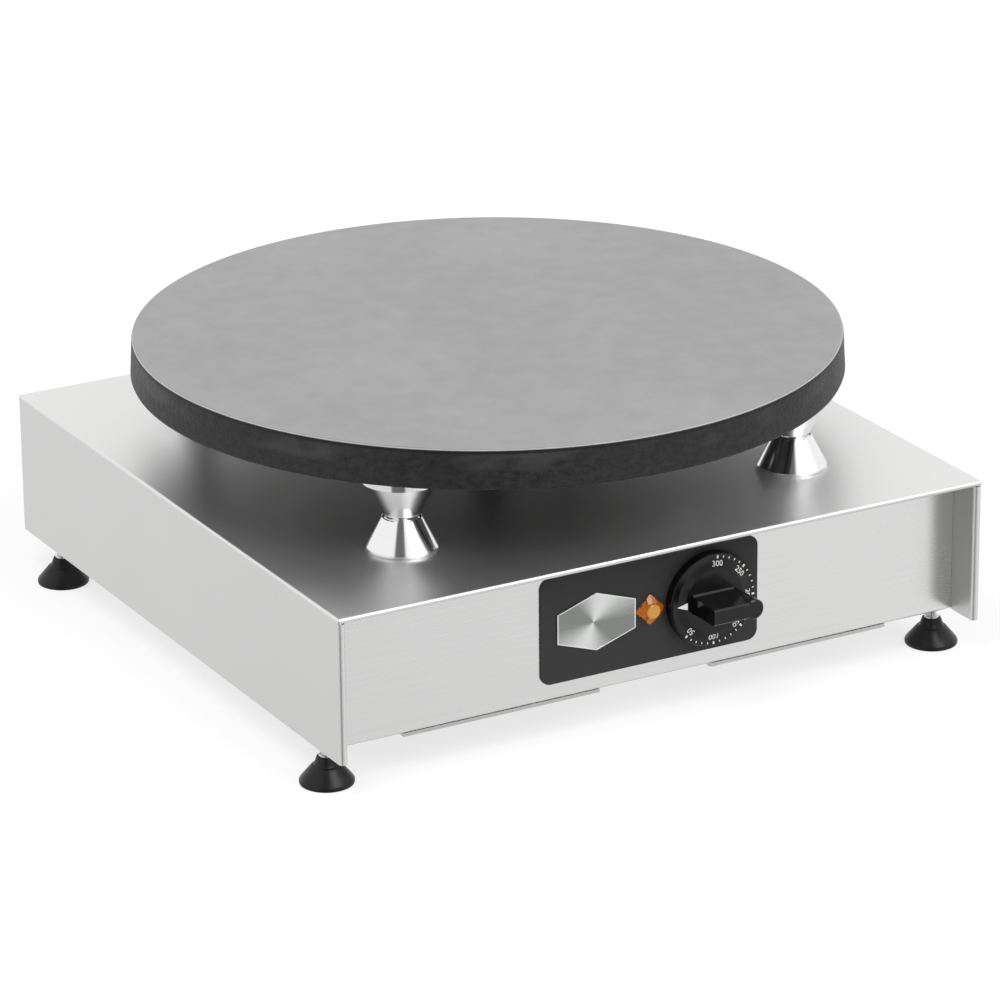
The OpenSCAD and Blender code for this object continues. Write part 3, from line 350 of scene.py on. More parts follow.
@dataclass(frozen=True)
class CastPlate:
    """Cast iron: a rough dark casting, with a machined grey face on top."""

    name: str
    centre: Point
    face_z: float
    face_tone: Colour = (0.43, 0.43, 0.435)
    skin_tone: Colour = (0.013, 0.013, 0.0133)
    worn_tone: Colour = (0.62, 0.62, 0.62)
    groove_tone: Colour = (0.003, 0.003, 0.003)
    face_skin: float = 0.35 * MM
    worn_edge: Pair = (1.0 * MM, 0.5 * MM)
    groove: Pair = (2.6 * MM, 1.1 * MM)
    seasoned: Pair = (12.0 * MM, 2.5 * MM)
    cut_lines: float = 1400.0
    cut_depth: float = 0.004 * MM
    cast_depth: float = 0.9 * MM
    patch_start: Point = (0.9, 0.0, 0.0)

    def below(self, depths: Pair) -> Pair:
        """Heights of two depths below the plate's face."""
        return self.face_z - depths[0], self.face_z - depths[1]

    def build(self) -> bpy.types.Material:
        """Makes the material.

        Returns:
            The material.
        """
        recipe = Recipe(self.name)
        height = recipe.parts(recipe.place)[2]
        radius = recipe.radius(self.centre)
        face = height.over(self.face_z - self.face_skin)
        edge = height.clear(*self.below(self.worn_edge))
        rings = recipe.line_noise(radius * self.cut_lines)
        cloud = recipe.noise(9.0, 4.0, 0.6)
        mottle = recipe.noise(70.0, 3.0, 0.6)
        grit = recipe.noise(900.0, 3.0, 0.65)
        lumps = recipe.noise((210.0, 210.0, 320.0), 3.0, 0.6)
        shade = (cloud * 0.55 + mottle * 0.30 + rings * 0.15).clear(0.36, 0.64)
        machined = recipe.blend(scaled(self.face_tone, 0.82), self.face_tone, shade)
        rough_skin = (lumps * 0.6 + grit * 0.4).clear(0.38, 0.64)
        cast = recipe.blend(scaled(self.skin_tone, 0.62), scaled(self.skin_tone, 1.7), rough_skin)
        patches = recipe.noise((13.0, 13.0, 30.0), 3.0, 0.6, self.patch_start).clear(0.48, 0.64)
        seasoned = height.window(*self.below(self.seasoned), 3.0 * MM) * patches
        cast = recipe.blend(cast, scaled(self.skin_tone, 4.0), seasoned * 0.7)
        groove = height.window(*self.below(self.groove), 0.5 * MM)
        cast = recipe.blend(cast, self.groove_tone, groove * 0.8)
        worn = recipe.blend(cast, self.worn_tone, edge * (1.0 - face))
        colour = recipe.blend(worn, machined, face)
        rough_face = 0.42 + (cloud - 0.5) * 0.10 + (rings - 0.5) * 0.05
        rough = rough_face * face + (0.46 + (lumps - 0.5) * 0.2) * (1.0 - face)
        relief = (lumps * 0.7 + grit * 0.3) * (1.0 - face) * (1.0 - edge)
        normal = recipe.bump(relief, self.cast_depth)
        normal = recipe.bump(rings * face, self.cut_depth, Normal=normal)
        metal = face * 0.1 + edge * 0.8
        return recipe.finish(colour, rough, {"Metallic": metal, "Specular IOR Level": 0.34, "Normal": normal})


@dataclass(frozen=True)
class Moulded:
    """Moulded plastic, rubber, ceramic or paint: one colour with a fine texture."""

    name: str
    tone: Colour
    roughness: float
    grain: float = 1500.0
    depth: float = 0.02 * MM
    spread: float = 0.15
    coat: float = 0.0
    shine: float = 0.5

    def build(self) -> bpy.types.Material:
        """Makes the material.

        Returns:
            The material.
        """
        recipe = Recipe(self.name)
        speck = recipe.noise(self.grain)
        cloud = recipe.noise(45.0, 3.0)
        mask = (cloud * 0.6 + speck * 0.4).clear(0.3, 0.7)
        colour = recipe.blend(scaled(self.tone, 1 - self.spread), scaled(self.tone, 1 + self.spread), mask)
        rough = self.roughness + (speck - 0.5) * 0.12 + (cloud - 0.5) * 0.10
        gloss = {"Coat Weight": self.coat, "Coat Roughness": 0.15, "Specular IOR Level": self.shine}
        return recipe.finish(colour, rough, {"Normal": recipe.bump(speck, self.depth), **gloss})


@dataclass(frozen=True)
class Plated:
    """Plated or plain steel, copper and lamp metal, a little uneven and stained."""

    name: str
    tone: Colour
    roughness: float = 0.34
    stain: Colour = (0.45, 0.44, 0.42)
    stained: float = 0.25
    depth: float = 0.01 * MM

    def build(self) -> bpy.types.Material:
        """Makes the material.

        Returns:
            The material.
        """
        recipe = Recipe(self.name)
        speck = recipe.noise(800.0, 3.0)
        cloud = recipe.noise(90.0, 4.0, 0.6)
        colour = recipe.blend(self.tone, self.stain, cloud.clear(0.45, 0.75) * self.stained)
        rough = self.roughness + (cloud - 0.5) * 0.2 + (speck - 0.5) * 0.1
        normal = recipe.bump(speck, self.depth)
        return recipe.finish(colour, rough, {"Metallic": 1.0, "Normal": normal})


@dataclass(frozen=True)
class SatinBadge:
    """Satin badge metal with spun lines, and a painted sheen fanned out from the middle in its colour."""

    name: str
    centre: Point
    # dark and pale are the shaded and the lit ends of the painted sheen.
    dark: Colour = (0.30, 0.31, 0.30)
    pale: Colour = (0.93, 0.94, 0.93)
    fan_aside: float = 2.0 * MM
    fan_turn: float = 66.0
    spokes: float = 26.0

    def build(self) -> bpy.types.Material:
        """Makes the material.

        Returns:
            The material.
        """
        recipe = Recipe(self.name)
        x, _, z = recipe.parts(recipe.along((1.0, 1.0, 1.0), self.centre))
        turn = z.function("ARCTAN2", x + self.fan_aside)
        # Painted sheen: the colour turns lighter and darker round the middle, as reflections would.
        painted_sheen_fan = ((turn - math.radians(self.fan_turn)) * 2.0).function("COSINE")
        spun = recipe.line_noise(turn * self.spokes)
        painted_sheen_and_spun_lines = (painted_sheen_fan * 0.5 + 0.5) * 0.9 + (spun - 0.5) * 0.32
        colour = recipe.blend(self.dark, self.pale, painted_sheen_and_spun_lines.clear(0.12, 0.98))
        rough = 0.30 + (spun - 0.5) * 0.1
        return recipe.finish(colour, rough, {"Metallic": 1.0})


@dataclass(frozen=True)
class AmberLens:
    """Moulded amber plastic, clear enough to let some light through, with a painted glow: its colour pales
    towards the middle.
    """

    name: str
    centre: Point
    # pale is the colour of the painted glow in the middle, and deep is the amber's own colour.
    deep: Colour = (0.62, 0.16, 0.004)
    pale: Colour = (0.78, 0.36, 0.04)
    cells_per_m: float = 420.0
    cell_depth: float = 0.12 * MM

    def build(self) -> bpy.types.Material:
        """Makes the material.

        Returns:
            The material.
        """
        recipe = Recipe(self.name)
        radius = recipe.radius(self.centre, (1.0, 0.0, 1.0))
        place = recipe.along((self.cells_per_m,) * 3)
        cells = recipe.node("ShaderNodeTexVoronoi", {"feature": "F1"}, {"Vector": place, "Scale": 1.0})
        # Painted glow: the colour pales towards the lens's middle.
        colour = recipe.blend(self.pale, self.deep, radius.clear(3.0 * MM, 5.5 * MM))
        rough = 0.16 + cells * 0.16
        normal = recipe.bump(cells, self.cell_depth, 0.6)
        gloss = {"Transmission Weight": 0.25, "IOR": 1.49, "Coat Weight": 0.4, "Coat Roughness": 0.06}
        return recipe.finish(colour, rough, {"Normal": normal, **gloss})


# ---- Meshes


def dress(material: bpy.types.Material, *nodes: str) -> None:
    """Gives nodes of the frame their material.

    Args:
        material: What they are finished with.
        *nodes: The nodes' names.
    """
    for node in nodes:
        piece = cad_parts[node]
        for slot in piece.material_slots:
            slot.material = material
        if not piece.material_slots:
            piece.data.materials.append(material)
        LOG.info("%s: %s", node, material.name)


def middle_of(node: str) -> Vector:
    """Middle of a node's box."""
    low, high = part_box(node)
    return (low + high) / 2


def link(name: str, data: bpy.types.ID) -> bpy.types.Object:
    """Puts something in the scene, at the origin.

    Args:
        name: The object's name.
        data: Its mesh, curve, camera or lamp.

    Returns:
        The object.
    """
    piece = bpy.data.objects.new(name, data)
    bpy.context.scene.collection.objects.link(piece)
    return piece


def flattened(piece: bpy.types.Object) -> bpy.types.Mesh:
    """Turns an object with its modifiers, or a text, into a plain mesh.

    Args:
        piece: The object. It is removed.

    Returns:
        The mesh.
    """
    bpy.context.view_layer.update()
    evaluated = piece.evaluated_get(bpy.context.evaluated_depsgraph_get())
    mesh = bpy.data.meshes.new_from_object(evaluated)
    bpy.data.objects.remove(piece)
    return mesh


def settled(mesh: bpy.types.Mesh, name: str, place: Matrix) -> bpy.types.Object:
    """Puts a mesh in the scene, at its place.

    Args:
        mesh: The mesh, drawn at the origin.
        name: The piece's name.
        place: Where the mesh goes in the frame.

    Returns:
        The piece, whose object is at the origin.
    """
    mesh.transform(place)
    mesh.name = name
    LOG.info("%s: %d faces", name, len(mesh.polygons))
    return link(name, mesh)


def skinned(
    name: str, rows: list[list[Point]], material: bpy.types.Material, place: Matrix, smooth: bool = False
) -> bpy.types.Object:
    """Skins a closed shell over rows of points, its faces pointing outwards.

    Args:
        name: The piece's name.
        rows: The rows, all with as many points or with a single one. The last is joined to the first
            unless both are single points.
        material: The piece's finish.
        place: Where the shell goes in the frame.
        smooth: Whether its shading is smooth across shallow edges.

    Returns:
        The piece.
    """
    shell = bmesh.new()
    corners = [[shell.verts.new(point) for point in row] for row in rows]
    sides = max(len(row) for row in rows)
    closing = [] if len(rows[0]) == len(rows[-1]) == 1 else [(corners[-1], corners[0])]
    for lower, upper in list(zip(corners, corners[1:])) + closing:
        for k in range(sides):
            n = (k + 1) % sides
            loop = [row[i % len(row)] for row, i in ((lower, k), (lower, n), (upper, n), (upper, k))]
            shell.faces.new(list(dict.fromkeys(loop)))
    bmesh.ops.recalc_face_normals(shell, faces=shell.faces)
    mesh = bpy.data.meshes.new(name)
    shell.to_mesh(mesh)
    shell.free()
    if smooth:
        mesh.shade_smooth()
        mesh.set_sharp_from_angle(angle=SHARP_ANGLE)
    mesh.materials.append(material)
    return settled(mesh, name, place)


def turned(name: str, profile: list[Pair], material: bpy.types.Material, place: Matrix) -> bpy.types.Object:
    """Turns a profile about the upright axis.

    Args:
        name: The piece's name.
        profile: Pairs of radius and height, in millimetres, from axis to axis or round a ring.
        material: The piece's finish.
        place: Where the axis goes in the frame.

    Returns:
        The piece.
    """
    angles = [2 * math.pi * k / TURNED_SIDES for k in range(TURNED_SIDES)]
    rows = []
    for radius, height in profile:
        row = [(radius * MM * math.cos(a), radius * MM * math.sin(a), height * MM) for a in angles]
        rows.append(row if radius else row[:1])
    return skinned(name, rows, material, place, smooth=True)


class Weave(Graph):
    """A Geometry Nodes tree with named inputs, which ends in plain mesh with a material."""

    def __init__(self, name: str, **sizes: float) -> None:
        """Makes the group and its inputs.

        Args:
            name: The tree's name.
            **sizes: Each named size, a whole number where it is a count.
        """
        group = bpy.data.node_groups.new(name, "GeometryNodeTree")
        super().__init__(group)
        self.sizes = sizes
        group.interface.new_socket("Geometry", in_out="INPUT", socket_type="NodeSocketGeometry")
        for key, size in sizes.items():
            kind = "NodeSocketInt" if isinstance(size, int) else "NodeSocketFloat"
            group.interface.new_socket(key, in_out="INPUT", socket_type=kind)
        group.interface.new_socket("Geometry", in_out="OUTPUT", socket_type="NodeSocketGeometry")
        self.given = self.node("NodeGroupInput")

    def __getitem__(self, key: str) -> Value:
        """A named input."""
        return self.output_of(self.given, key)

    def vector(self, x: Value | float = 0.0, y: Value | float = 0.0, z: Value | float = 0.0) -> Value:
        """A vector from its parts."""
        return self.node("ShaderNodeCombineXYZ", inputs={0: x, 1: y, 2: z})

    def ring(self, angle: Value, radius: Value) -> tuple[Value, Value]:
        """Both coordinates of a spot at an angle and a distance from the axis."""
        return angle.function("COSINE") * radius, angle.function("SINE") * radius

    def copies(self, count: str, spot: Value, shape: Value, settings: dict | None = None) -> Value:
        """Copies of a shape.

        Args:
            count: Name of the input that says how many.
            spot: Place of each, worked out from its index.
            shape: What is copied.
            settings: Rotation and scale of the copies.

        Returns:
            The copies.
        """
        points = self.node("GeometryNodePoints", inputs={"Count": self[count], "Position": spot})
        sockets = {"Points": points, "Instance": shape, **(settings or {})}
        return self.node("GeometryNodeInstanceOnPoints", inputs=sockets)

    def close(self, geometry: Value, material: bpy.types.Material, place: Matrix) -> bpy.types.Object:
        """Ends the tree, runs it and gives back the plain mesh.

        Args:
            geometry: What the tree has made.
            material: Its finish.
            place: Where the mesh goes in the frame.

        Returns:
            The new object.
        """
        plain = self.node("GeometryNodeRealizeInstances", inputs={0: geometry})
        coated = self.node("GeometryNodeSetMaterial", inputs={0: plain, "Material": material})
        self.node("NodeGroupOutput", inputs={0: coated})
        carrier = link(self.tree.name + "_carrier", bpy.data.meshes.new(self.tree.name))
        modifier = carrier.modifiers.new("weave", "NODES")
        modifier.node_group = self.tree
        for item in self.tree.interface.items_tree:
            if item.in_out == "INPUT" and item.name in self.sizes:
                modifier[item.identifier] = self.sizes[item.name]
        return settled(flattened(carrier), self.tree.name, place)


def facing_front(middle: Vector, y: float) -> Matrix:
    """Frame of a control in the plane y of the front: local X to the right, Y up and Z outwards."""
    facing = Matrix(((1, 0, 0, 0), (0, 0, -1, 0), (0, 1, 0, 0), (0, 0, 0, 1)))
    return Matrix.Translation((middle.x, y, middle.z)) @ facing


# ---- Sub-assemblies


@dataclass
class Housing:
    """Folded cover, the two panels, the base plate and what fastens them."""

    cover: BrushedSheet = BrushedSheet("brushed_cover", Grain.ROUND_THE_SIDES, roughness=0.42)
    panel: BrushedSheet = BrushedSheet("brushed_panel", Grain.LEFT_TO_RIGHT, roughness=0.27, slope=0.005)
    base: BrushedSheet = BrushedSheet("plain_base", Grain.LEFT_TO_RIGHT, (0.62, 0.62, 0.61), roughness=0.34)
    screws: Plated = Plated("zinc_screws", (0.70, 0.71, 0.73))
    hem_reach: float = 18.0 * MM
    hem_t: float = 4.8 * MM
    sheet_t: float = 1.2 * MM
    gap: float = 0.1 * MM
    top_hem_t: float = 3.2 * MM

    def hem_returns(self, material: bpy.types.Material) -> bpy.types.Object:
        """Carries the side hems' return legs on to the panels, at the four corners.

        Args:
            material: Their finish.

        Returns:
            The four strips as one piece.
        """
        low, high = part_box("body_cover")
        middle = (low + high) / 2
        leg_end = (high.y - low.y) / 2 - self.hem_reach
        reach = leg_end - (middle.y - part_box("front_panel")[0].y) - self.gap
        weave = Weave(
            "hem_returns",
            Corners=4,
            Across=(high.x - low.x) / 2 - self.hem_t + self.sheet_t / 2,
            Along=leg_end - reach / 2,
            Thickness=self.sheet_t,
            Reach=reach,
            Height=high.z - low.z - self.top_hem_t,
        )
        index = weave.node("GeometryNodeInputIndex")
        side = 1.0 - (index % 2.0) * 2.0
        end = 1.0 - index.over(1.5) * 2.0
        middle_z = weave["Height"] / 2.0
        spot = weave.vector(side * weave["Across"], end * weave["Along"], middle_z)
        size = weave.vector(weave["Thickness"], weave["Reach"], weave["Height"])
        strip = weave.node("GeometryNodeMeshCube", inputs={"Size": size})
        place = Matrix.Translation((middle.x, middle.y, low.z))
        return weave.close(weave.copies("Corners", spot, strip), material, place)

    def dress(self) -> None:
        """Finishes the sheets and their fasteners."""
        panel, cover = self.panel.build(), self.cover.build()
        dress(cover, "body_cover")
        returns = self.hem_returns(cover)
        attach(returns, "appliance")
        dress(panel, "front_panel", "rear_panel")
        dress(self.base.build(), "base_plate")
        fixings = ("base_screws", "foot_nuts", "thermostat_screws", "earth_screw", "thermostat_shaft")
        dress(self.screws.build(), *fixings)


@dataclass
class Heating:
    """Baking plate and the parts clamped under it."""

    # The pan is black, and its near-black tone also paints the shade under the plate that the sheets reflect.
    pan: Moulded = Moulded("black_pan_and_painted_shade", (0.045, 0.045, 0.045), 0.55, grain=600.0, spread=0.25, shine=0.4)
    steel: Plated = Plated("heater_steel", (0.34, 0.33, 0.33), 0.5, stain=(0.25, 0.20, 0.16), stained=0.6)
    zinc: Plated = Plated("zinc_steel", (0.68, 0.69, 0.71))
    wool: Moulded = Moulded("mineral_wool", (0.74, 0.71, 0.60), 0.9, grain=400.0, depth=0.4 * MM, spread=0.2)
    copper: Plated = Plated(
        "capillary_copper", (0.78, 0.42, 0.26), 0.3, stain=(0.35, 0.18, 0.10), stained=0.5
    )

    def dress(self) -> None:
        """Finishes the plate and the heater."""
        face_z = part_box("baking_plate")[1].z
        plate = CastPlate("cast_plate", tuple(middle_of("baking_plate")), face_z)
        dress(plate.build(), "baking_plate")
        dress(self.pan.build(), "heater_pan", "wiring_conduit", "conduit_nuts")
        dress(self.steel.build(), "heating_element", "press_plate")
        dress(self.zinc.build(), "pan_studs", "pan_nuts", "bulb_clip", "spacer_bolts", "spacer_washers")
        dress(self.wool.build(), "insulation_disc")
        dress(self.copper.build(), "sensor_bulb", "capillary_tube")


@dataclass
class Spacers:
    """Four double cones of turned aluminium that carry the plate."""

    metal: TurnedMetal = TurnedMetal("turned_aluminium")

    def dress(self) -> None:
        """Finishes the lower and the upper cones."""
        metal = self.metal.build()
        for corner in Corner:
            dress(metal, f"spacer_base_{corner.value}", f"spacer_cone_{corner.value}")


@dataclass
class Dial:
    """Thermostat dial with its scale."""

    edge_h: float = 7.4 * MM
    face_h: float = 8.3 * MM
    ring_r: float = 23.2 * MM
    face_r: float = 18.2 * MM
    tick_r: float = 25.0 * MM
    first_angle: float = 226.0
    degrees_per_mark: float = 8.76
    marks: int = 26
    marks_per_number: int = 5
    tick_l: float = 1.15 * MM
    tick_w: float = 0.62 * MM
    major_longer: float = 0.45
    major_wider: float = 0.75
    number_r: float = 21.2 * MM
    number_h: float = 3.3 * MM
    first_number: int = 50
    last_number: int = 300
    per_mark: int = 10
    figure_share: float = 0.72
    pointer_tip: float = 23.3 * MM
    pointer_base: float = 17.2 * MM
    pointer_half: float = 2.1 * MM
    pointer_rows: int = 6
    ink_t: float = 0.05 * MM
    ink: Moulded = Moulded("white_ink", (0.80, 0.80, 0.78), 0.5, grain=2500.0, depth=0.01 * MM, spread=0.08)
    black: Moulded = Moulded(
        "knob_black", (0.004, 0.004, 0.0042), 0.20, grain=1800.0, depth=0.002 * MM, shine=0.38
    )

    def surface(self, radius: float) -> float:
        """Height of the dial's face above the panel, at a distance from its axis."""
        share = (self.ring_r - radius) / (self.ring_r - self.face_r)
        return self.edge_h + (self.face_h - self.edge_h) * min(max(share, 0.0), 1.0)

    def ticks(self, ink: bpy.types.Material, place: Matrix) -> bpy.types.Object:
        """Makes the scale's ticks, every fifth one larger.

        Args:
            ink: The markings' finish.
            place: The dial's frame.

        Returns:
            The ticks as one piece.
        """
        weave = Weave(
            "dial_ticks",
            Marks=self.marks,
            Radius=self.tick_r,
            Height=self.edge_h,
            First=math.radians(self.first_angle),
            Step=math.radians(self.degrees_per_mark),
            Length=self.tick_l,
            Width=self.tick_w,
            Thickness=2 * self.ink_t,
        )
        index = weave.node("GeometryNodeInputIndex")
        angle = weave["First"] + index * weave["Step"]
        spot = weave.vector(*weave.ring(angle, weave["Radius"]), weave["Height"])
        size = weave.vector(weave["Length"], weave["Width"], weave["Thickness"])
        bar = weave.node("GeometryNodeMeshCube", inputs={"Size": size})
        major = 1.0 - (index % self.marks_per_number).over(0.5)
        scale = weave.vector(1.0 + major * self.major_longer, 1.0 + major * self.major_wider, 1.0)
        copies = weave.copies("Marks", spot, bar, {"Rotation": weave.vector(z=angle), "Scale": scale})
        return weave.close(copies, ink, place)

    def on_face(self, mesh: bpy.types.Mesh) -> None:
        """Lays a flat mesh on the dial's face.

        Args:
            mesh: The mesh, drawn in the dial's plane.
        """
        for vertex in mesh.vertices:
            radius = math.hypot(vertex.co.x, vertex.co.y)
            vertex.co.z = self.surface(radius) + self.ink_t

    def number(self, shown: int) -> bpy.types.Mesh:
        """Makes one number, standing with its top away from the axis.

        Args:
            shown: The number.

        Returns:
            The flat mesh, on the dial's face.
        """
        degree = (shown - self.first_number) / self.per_mark * self.degrees_per_mark + self.first_angle
        figures = bpy.data.curves.new("figures", "FONT")
        figures.body = str(shown)
        figures.align_x = "CENTER"
        figures.align_y = "CENTER"
        figures.size = self.number_h / self.figure_share
        figures.offset = self.ink_t
        figures.resolution_u = 3
        mesh = flattened(link("figures", figures))
        spot = Matrix.Rotation(math.radians(degree), 4, "Z") @ Matrix.Translation((self.number_r, 0, 0))
        mesh.transform(spot @ Matrix.Rotation(math.radians(-90), 4, "Z"))
        self.on_face(mesh)
        return mesh

    def pointer(self) -> bpy.types.Mesh:
        """Makes the triangle that points out at the lamp, on the left of the dial.

        Returns:
            The flat mesh, on the dial's face.
        """
        rows = self.pointer_rows
        points = []
        for i in range(rows + 1):
            reach = self.pointer_base + (self.pointer_tip - self.pointer_base) * i / rows
            half = self.pointer_half * (1 - i / rows)
            points += [(-reach, half, 0.0), (-reach, -half, 0.0)]
        faces = [(2 * i, 2 * i + 2, 2 * i + 3, 2 * i + 1) for i in range(rows)]
        mesh = bpy.data.meshes.new("pointer")
        mesh.from_pydata(points, [], faces)
        mesh.validate()
        self.on_face(mesh)
        return mesh

    def dress(self) -> None:
        """Finishes the knob and prints its scale."""
        place = facing_front(middle_of("thermostat_knob"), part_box("fascia_plate")[1].y)
        ink = self.ink.build()
        dress(self.black.build(), "thermostat_knob")
        pieces = [self.ticks(ink, place)]
        step = self.per_mark * self.marks_per_number
        shown = range(self.first_number, self.last_number + 1, step)
        meshes = {f"dial_number_{number}": self.number(number) for number in shown}
        meshes["dial_pointer"] = self.pointer()
        for name, mesh in meshes.items():
            flat = link(name + "_flat", mesh)
            depth = flat.modifiers.new("depth", "SOLIDIFY")
            depth.thickness = 2 * self.ink_t
            depth.offset = -1.0
            piece = settled(flattened(flat), name, place)
            piece.data.materials.clear()
            piece.data.materials.append(ink)
            pieces.append(piece)
        for piece in pieces:
            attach(piece, "dial")


@dataclass
class Controls:
    """Fascia, badge and pilot lamp."""

    badge_side: float = 17.0 * MM
    border_w: float = 0.55 * MM
    border_h: float = 0.25 * MM
    border_inset: float = 0.1 * MM
    border_sunk: float = 0.05 * MM
    border: Plated = Plated("bright_border", (0.95, 0.95, 0.94), 0.22, stain=(0.88, 0.88, 0.87), stained=0.2)
    fascia: Moulded = Moulded(
        "fascia_black", (0.034, 0.034, 0.0345), 0.45, grain=1200.0, depth=0.004 * MM, spread=0.08, shine=0.20
    )
    lamp: Moulded = Moulded("lamp_black", (0.03, 0.03, 0.03), 0.5)

    def badge_border(self) -> None:
        """Raises a thin polished border round the bare badge."""
        low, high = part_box("badge_plate")
        half_w, half_h, side = (high.x - low.x) / 2, (high.z - low.z) / 2, self.badge_side / 2
        left = [(0, half_h), (-half_w, side), (-half_w, -side)]
        outline = left + [(-x, -y) for x, y in left]
        rows = []
        for inset, lift in ((0.02, 0.0), (0.12, 1.0), (0.88, 1.0), (1.0, 0.0)):
            keep = 1 - (inset * self.border_w + self.border_inset) / half_h
            height = lift * self.border_h - self.border_sunk
            rows.append([(x * keep, y * keep, height) for x, y in outline])
        place = facing_front((low + high) / 2, low.y)
        border = skinned("badge_border", rows, self.border.build(), place)
        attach(border, "appliance")

    def dress(self) -> None:
        """Finishes the fascia and what stands on it."""
        dress(self.fascia.build(), "fascia_plate")
        dress(SatinBadge("badge_satin_painted_sheen", tuple(middle_of("badge_plate"))).build(), "badge_plate")
        self.badge_border()
        dress(AmberLens("amber_lens", tuple(middle_of("pilot_lamp_lens"))).build(), "pilot_lamp_lens")
        dress(self.lamp.build(), "pilot_lamp_body", "pilot_lamp_nut")


@dataclass
class Feet:
    """Levelling feet: flared pads of black plastic on threaded studs, with a pressed bush on each pad.

    The pad's and the bush's own sizes are in millimetres.
    """

    rubber: Moulded = Moulded(
        "foot_black", (0.007, 0.007, 0.0073), 0.36, grain=1300.0, depth=0.008 * MM, spread=0.2, shine=0.30
    )
    stud: Plated = Plated("stud_steel", (0.74, 0.75, 0.77), 0.25)
    pitch: float = 1.0 * MM
    thread_depth: float = 0.45 * MM
    thread_chamfer: float = 0.7 * MM
    thread_sides: int = 24
    rows_per_turn: int = 6
    seat: float = 6.0
    bore_r: float = 3.05
    bush_r: float = 4.3
    bush_h: float = 0.9
    pad_h: float = 15.8

    def pad_profile(self) -> list[Pair]:
        """Half section of a pad: hollow below, flared, with a tapered collar.

        Returns:
            Pairs of radius and height.
        """
        under = [(0, 1), (9, 1), (10, 0), (14.3, 0), (14.8, 0.3), (15, 0.9), (15, 1.9), (14.7, 2.6)]
        flare = [(11.7, 6.3), (8.6, 10.0), (8.0, 10.5), (7.3, 10.7), (7.0, 10.9), (6.75, 11.3)]
        collar = [(5.9, 13.8), (5.5, 14.9), (5.2, 15.5), (4.6, self.pad_h), (3.4, self.pad_h)]
        bore = [(self.bore_r, self.pad_h - 0.4), (self.bore_r, self.seat), (0, self.seat)]
        return under + flare + collar + bore

    def bush_profile(self) -> list[Pair]:
        """Section of the steel bush on a pad's top.

        Returns:
            Pairs of radius and height.
        """
        low, high, chamfer = self.pad_h - 0.1, self.pad_h + self.bush_h, 0.3
        outside = [(self.bush_r, low), (self.bush_r, high - chamfer), (self.bush_r - chamfer, high)]
        return [(self.bore_r, low), *outside, (self.bore_r, high)]

    def thread(self, corner: Corner, material: bpy.types.Material) -> bpy.types.Object:
        """Cuts a real helical thread on one stud.

        Args:
            corner: The stud's corner.
            material: Its finish.

        Returns:
            The threaded stud.
        """
        low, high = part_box(f"foot_stud_{corner.value}")
        turns = (high.z - low.z) / self.pitch
        weave = Weave(
            f"foot_thread_{corner.value}",
            Columns=self.thread_sides + 1,
            Rows=int(turns * self.rows_per_turn) + 1,
            Length=high.z - low.z,
            Crest=(high.x - low.x) / 2,
            Depth=self.thread_depth,
            Pitch=self.pitch,
            Chamfer=self.thread_chamfer,
        )
        cells = {"Vertices X": weave["Columns"], "Vertices Y": weave["Rows"]}
        grid = weave.node("GeometryNodeMeshGrid", inputs={"Size X": 1.0, "Size Y": 1.0, **cells})
        x, y, _ = weave.parts(weave.node("GeometryNodeInputPosition"))
        round_it = x + 0.5
        along = y + 0.5
        height = along * weave["Length"]
        phase = (height / weave["Pitch"] - round_it) % 1.0
        flank = (phase * 2.0 - 1.0).function("ABSOLUTE")
        groove = 1.0 - flank.clear(0.12, 0.88)
        end = weave["Length"] - height
        room = (end / weave["Chamfer"]).function("MINIMUM", 1.0)
        radius = weave["Crest"] - weave["Depth"] * (groove * room + 1.0 - room)
        radius = radius * along.over(0.0001) * (1.0 - along.over(0.9999))
        place = weave.vector(*weave.ring(round_it * (2 * math.pi), radius), height)
        bent = weave.node("GeometryNodeSetPosition", inputs={0: grid, "Position": place})
        closed = weave.node("GeometryNodeMergeByDistance", inputs={0: bent, "Distance": 0.005 * MM})
        middle = (low + high) / 2
        return weave.close(closed, material, Matrix.Translation((middle.x, middle.y, low.z)))

    def dress(self) -> None:
        """Makes and finishes the pads, the bushes and the studs."""
        rubber, stud = self.rubber.build(), self.stud.build()
        for corner in Corner:
            body = f"foot_{corner.value}"
            middle = middle_of(f"foot_pad_{corner.value}")
            place = Matrix.Translation((middle.x, middle.y, 0))
            pad = turned(f"foot_flare_{corner.value}", self.pad_profile(), rubber, place)
            bush = turned(f"foot_bush_{corner.value}", self.bush_profile(), stud, place)
            thread = self.thread(corner, stud)
            for piece, slot in ((pad, "foot_black"), (bush, "zinc_steel"), (thread, "zinc_steel")):
                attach(piece, body)
            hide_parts(f"foot_pad_{corner.value}")
            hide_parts(f"foot_stud_{corner.value}")


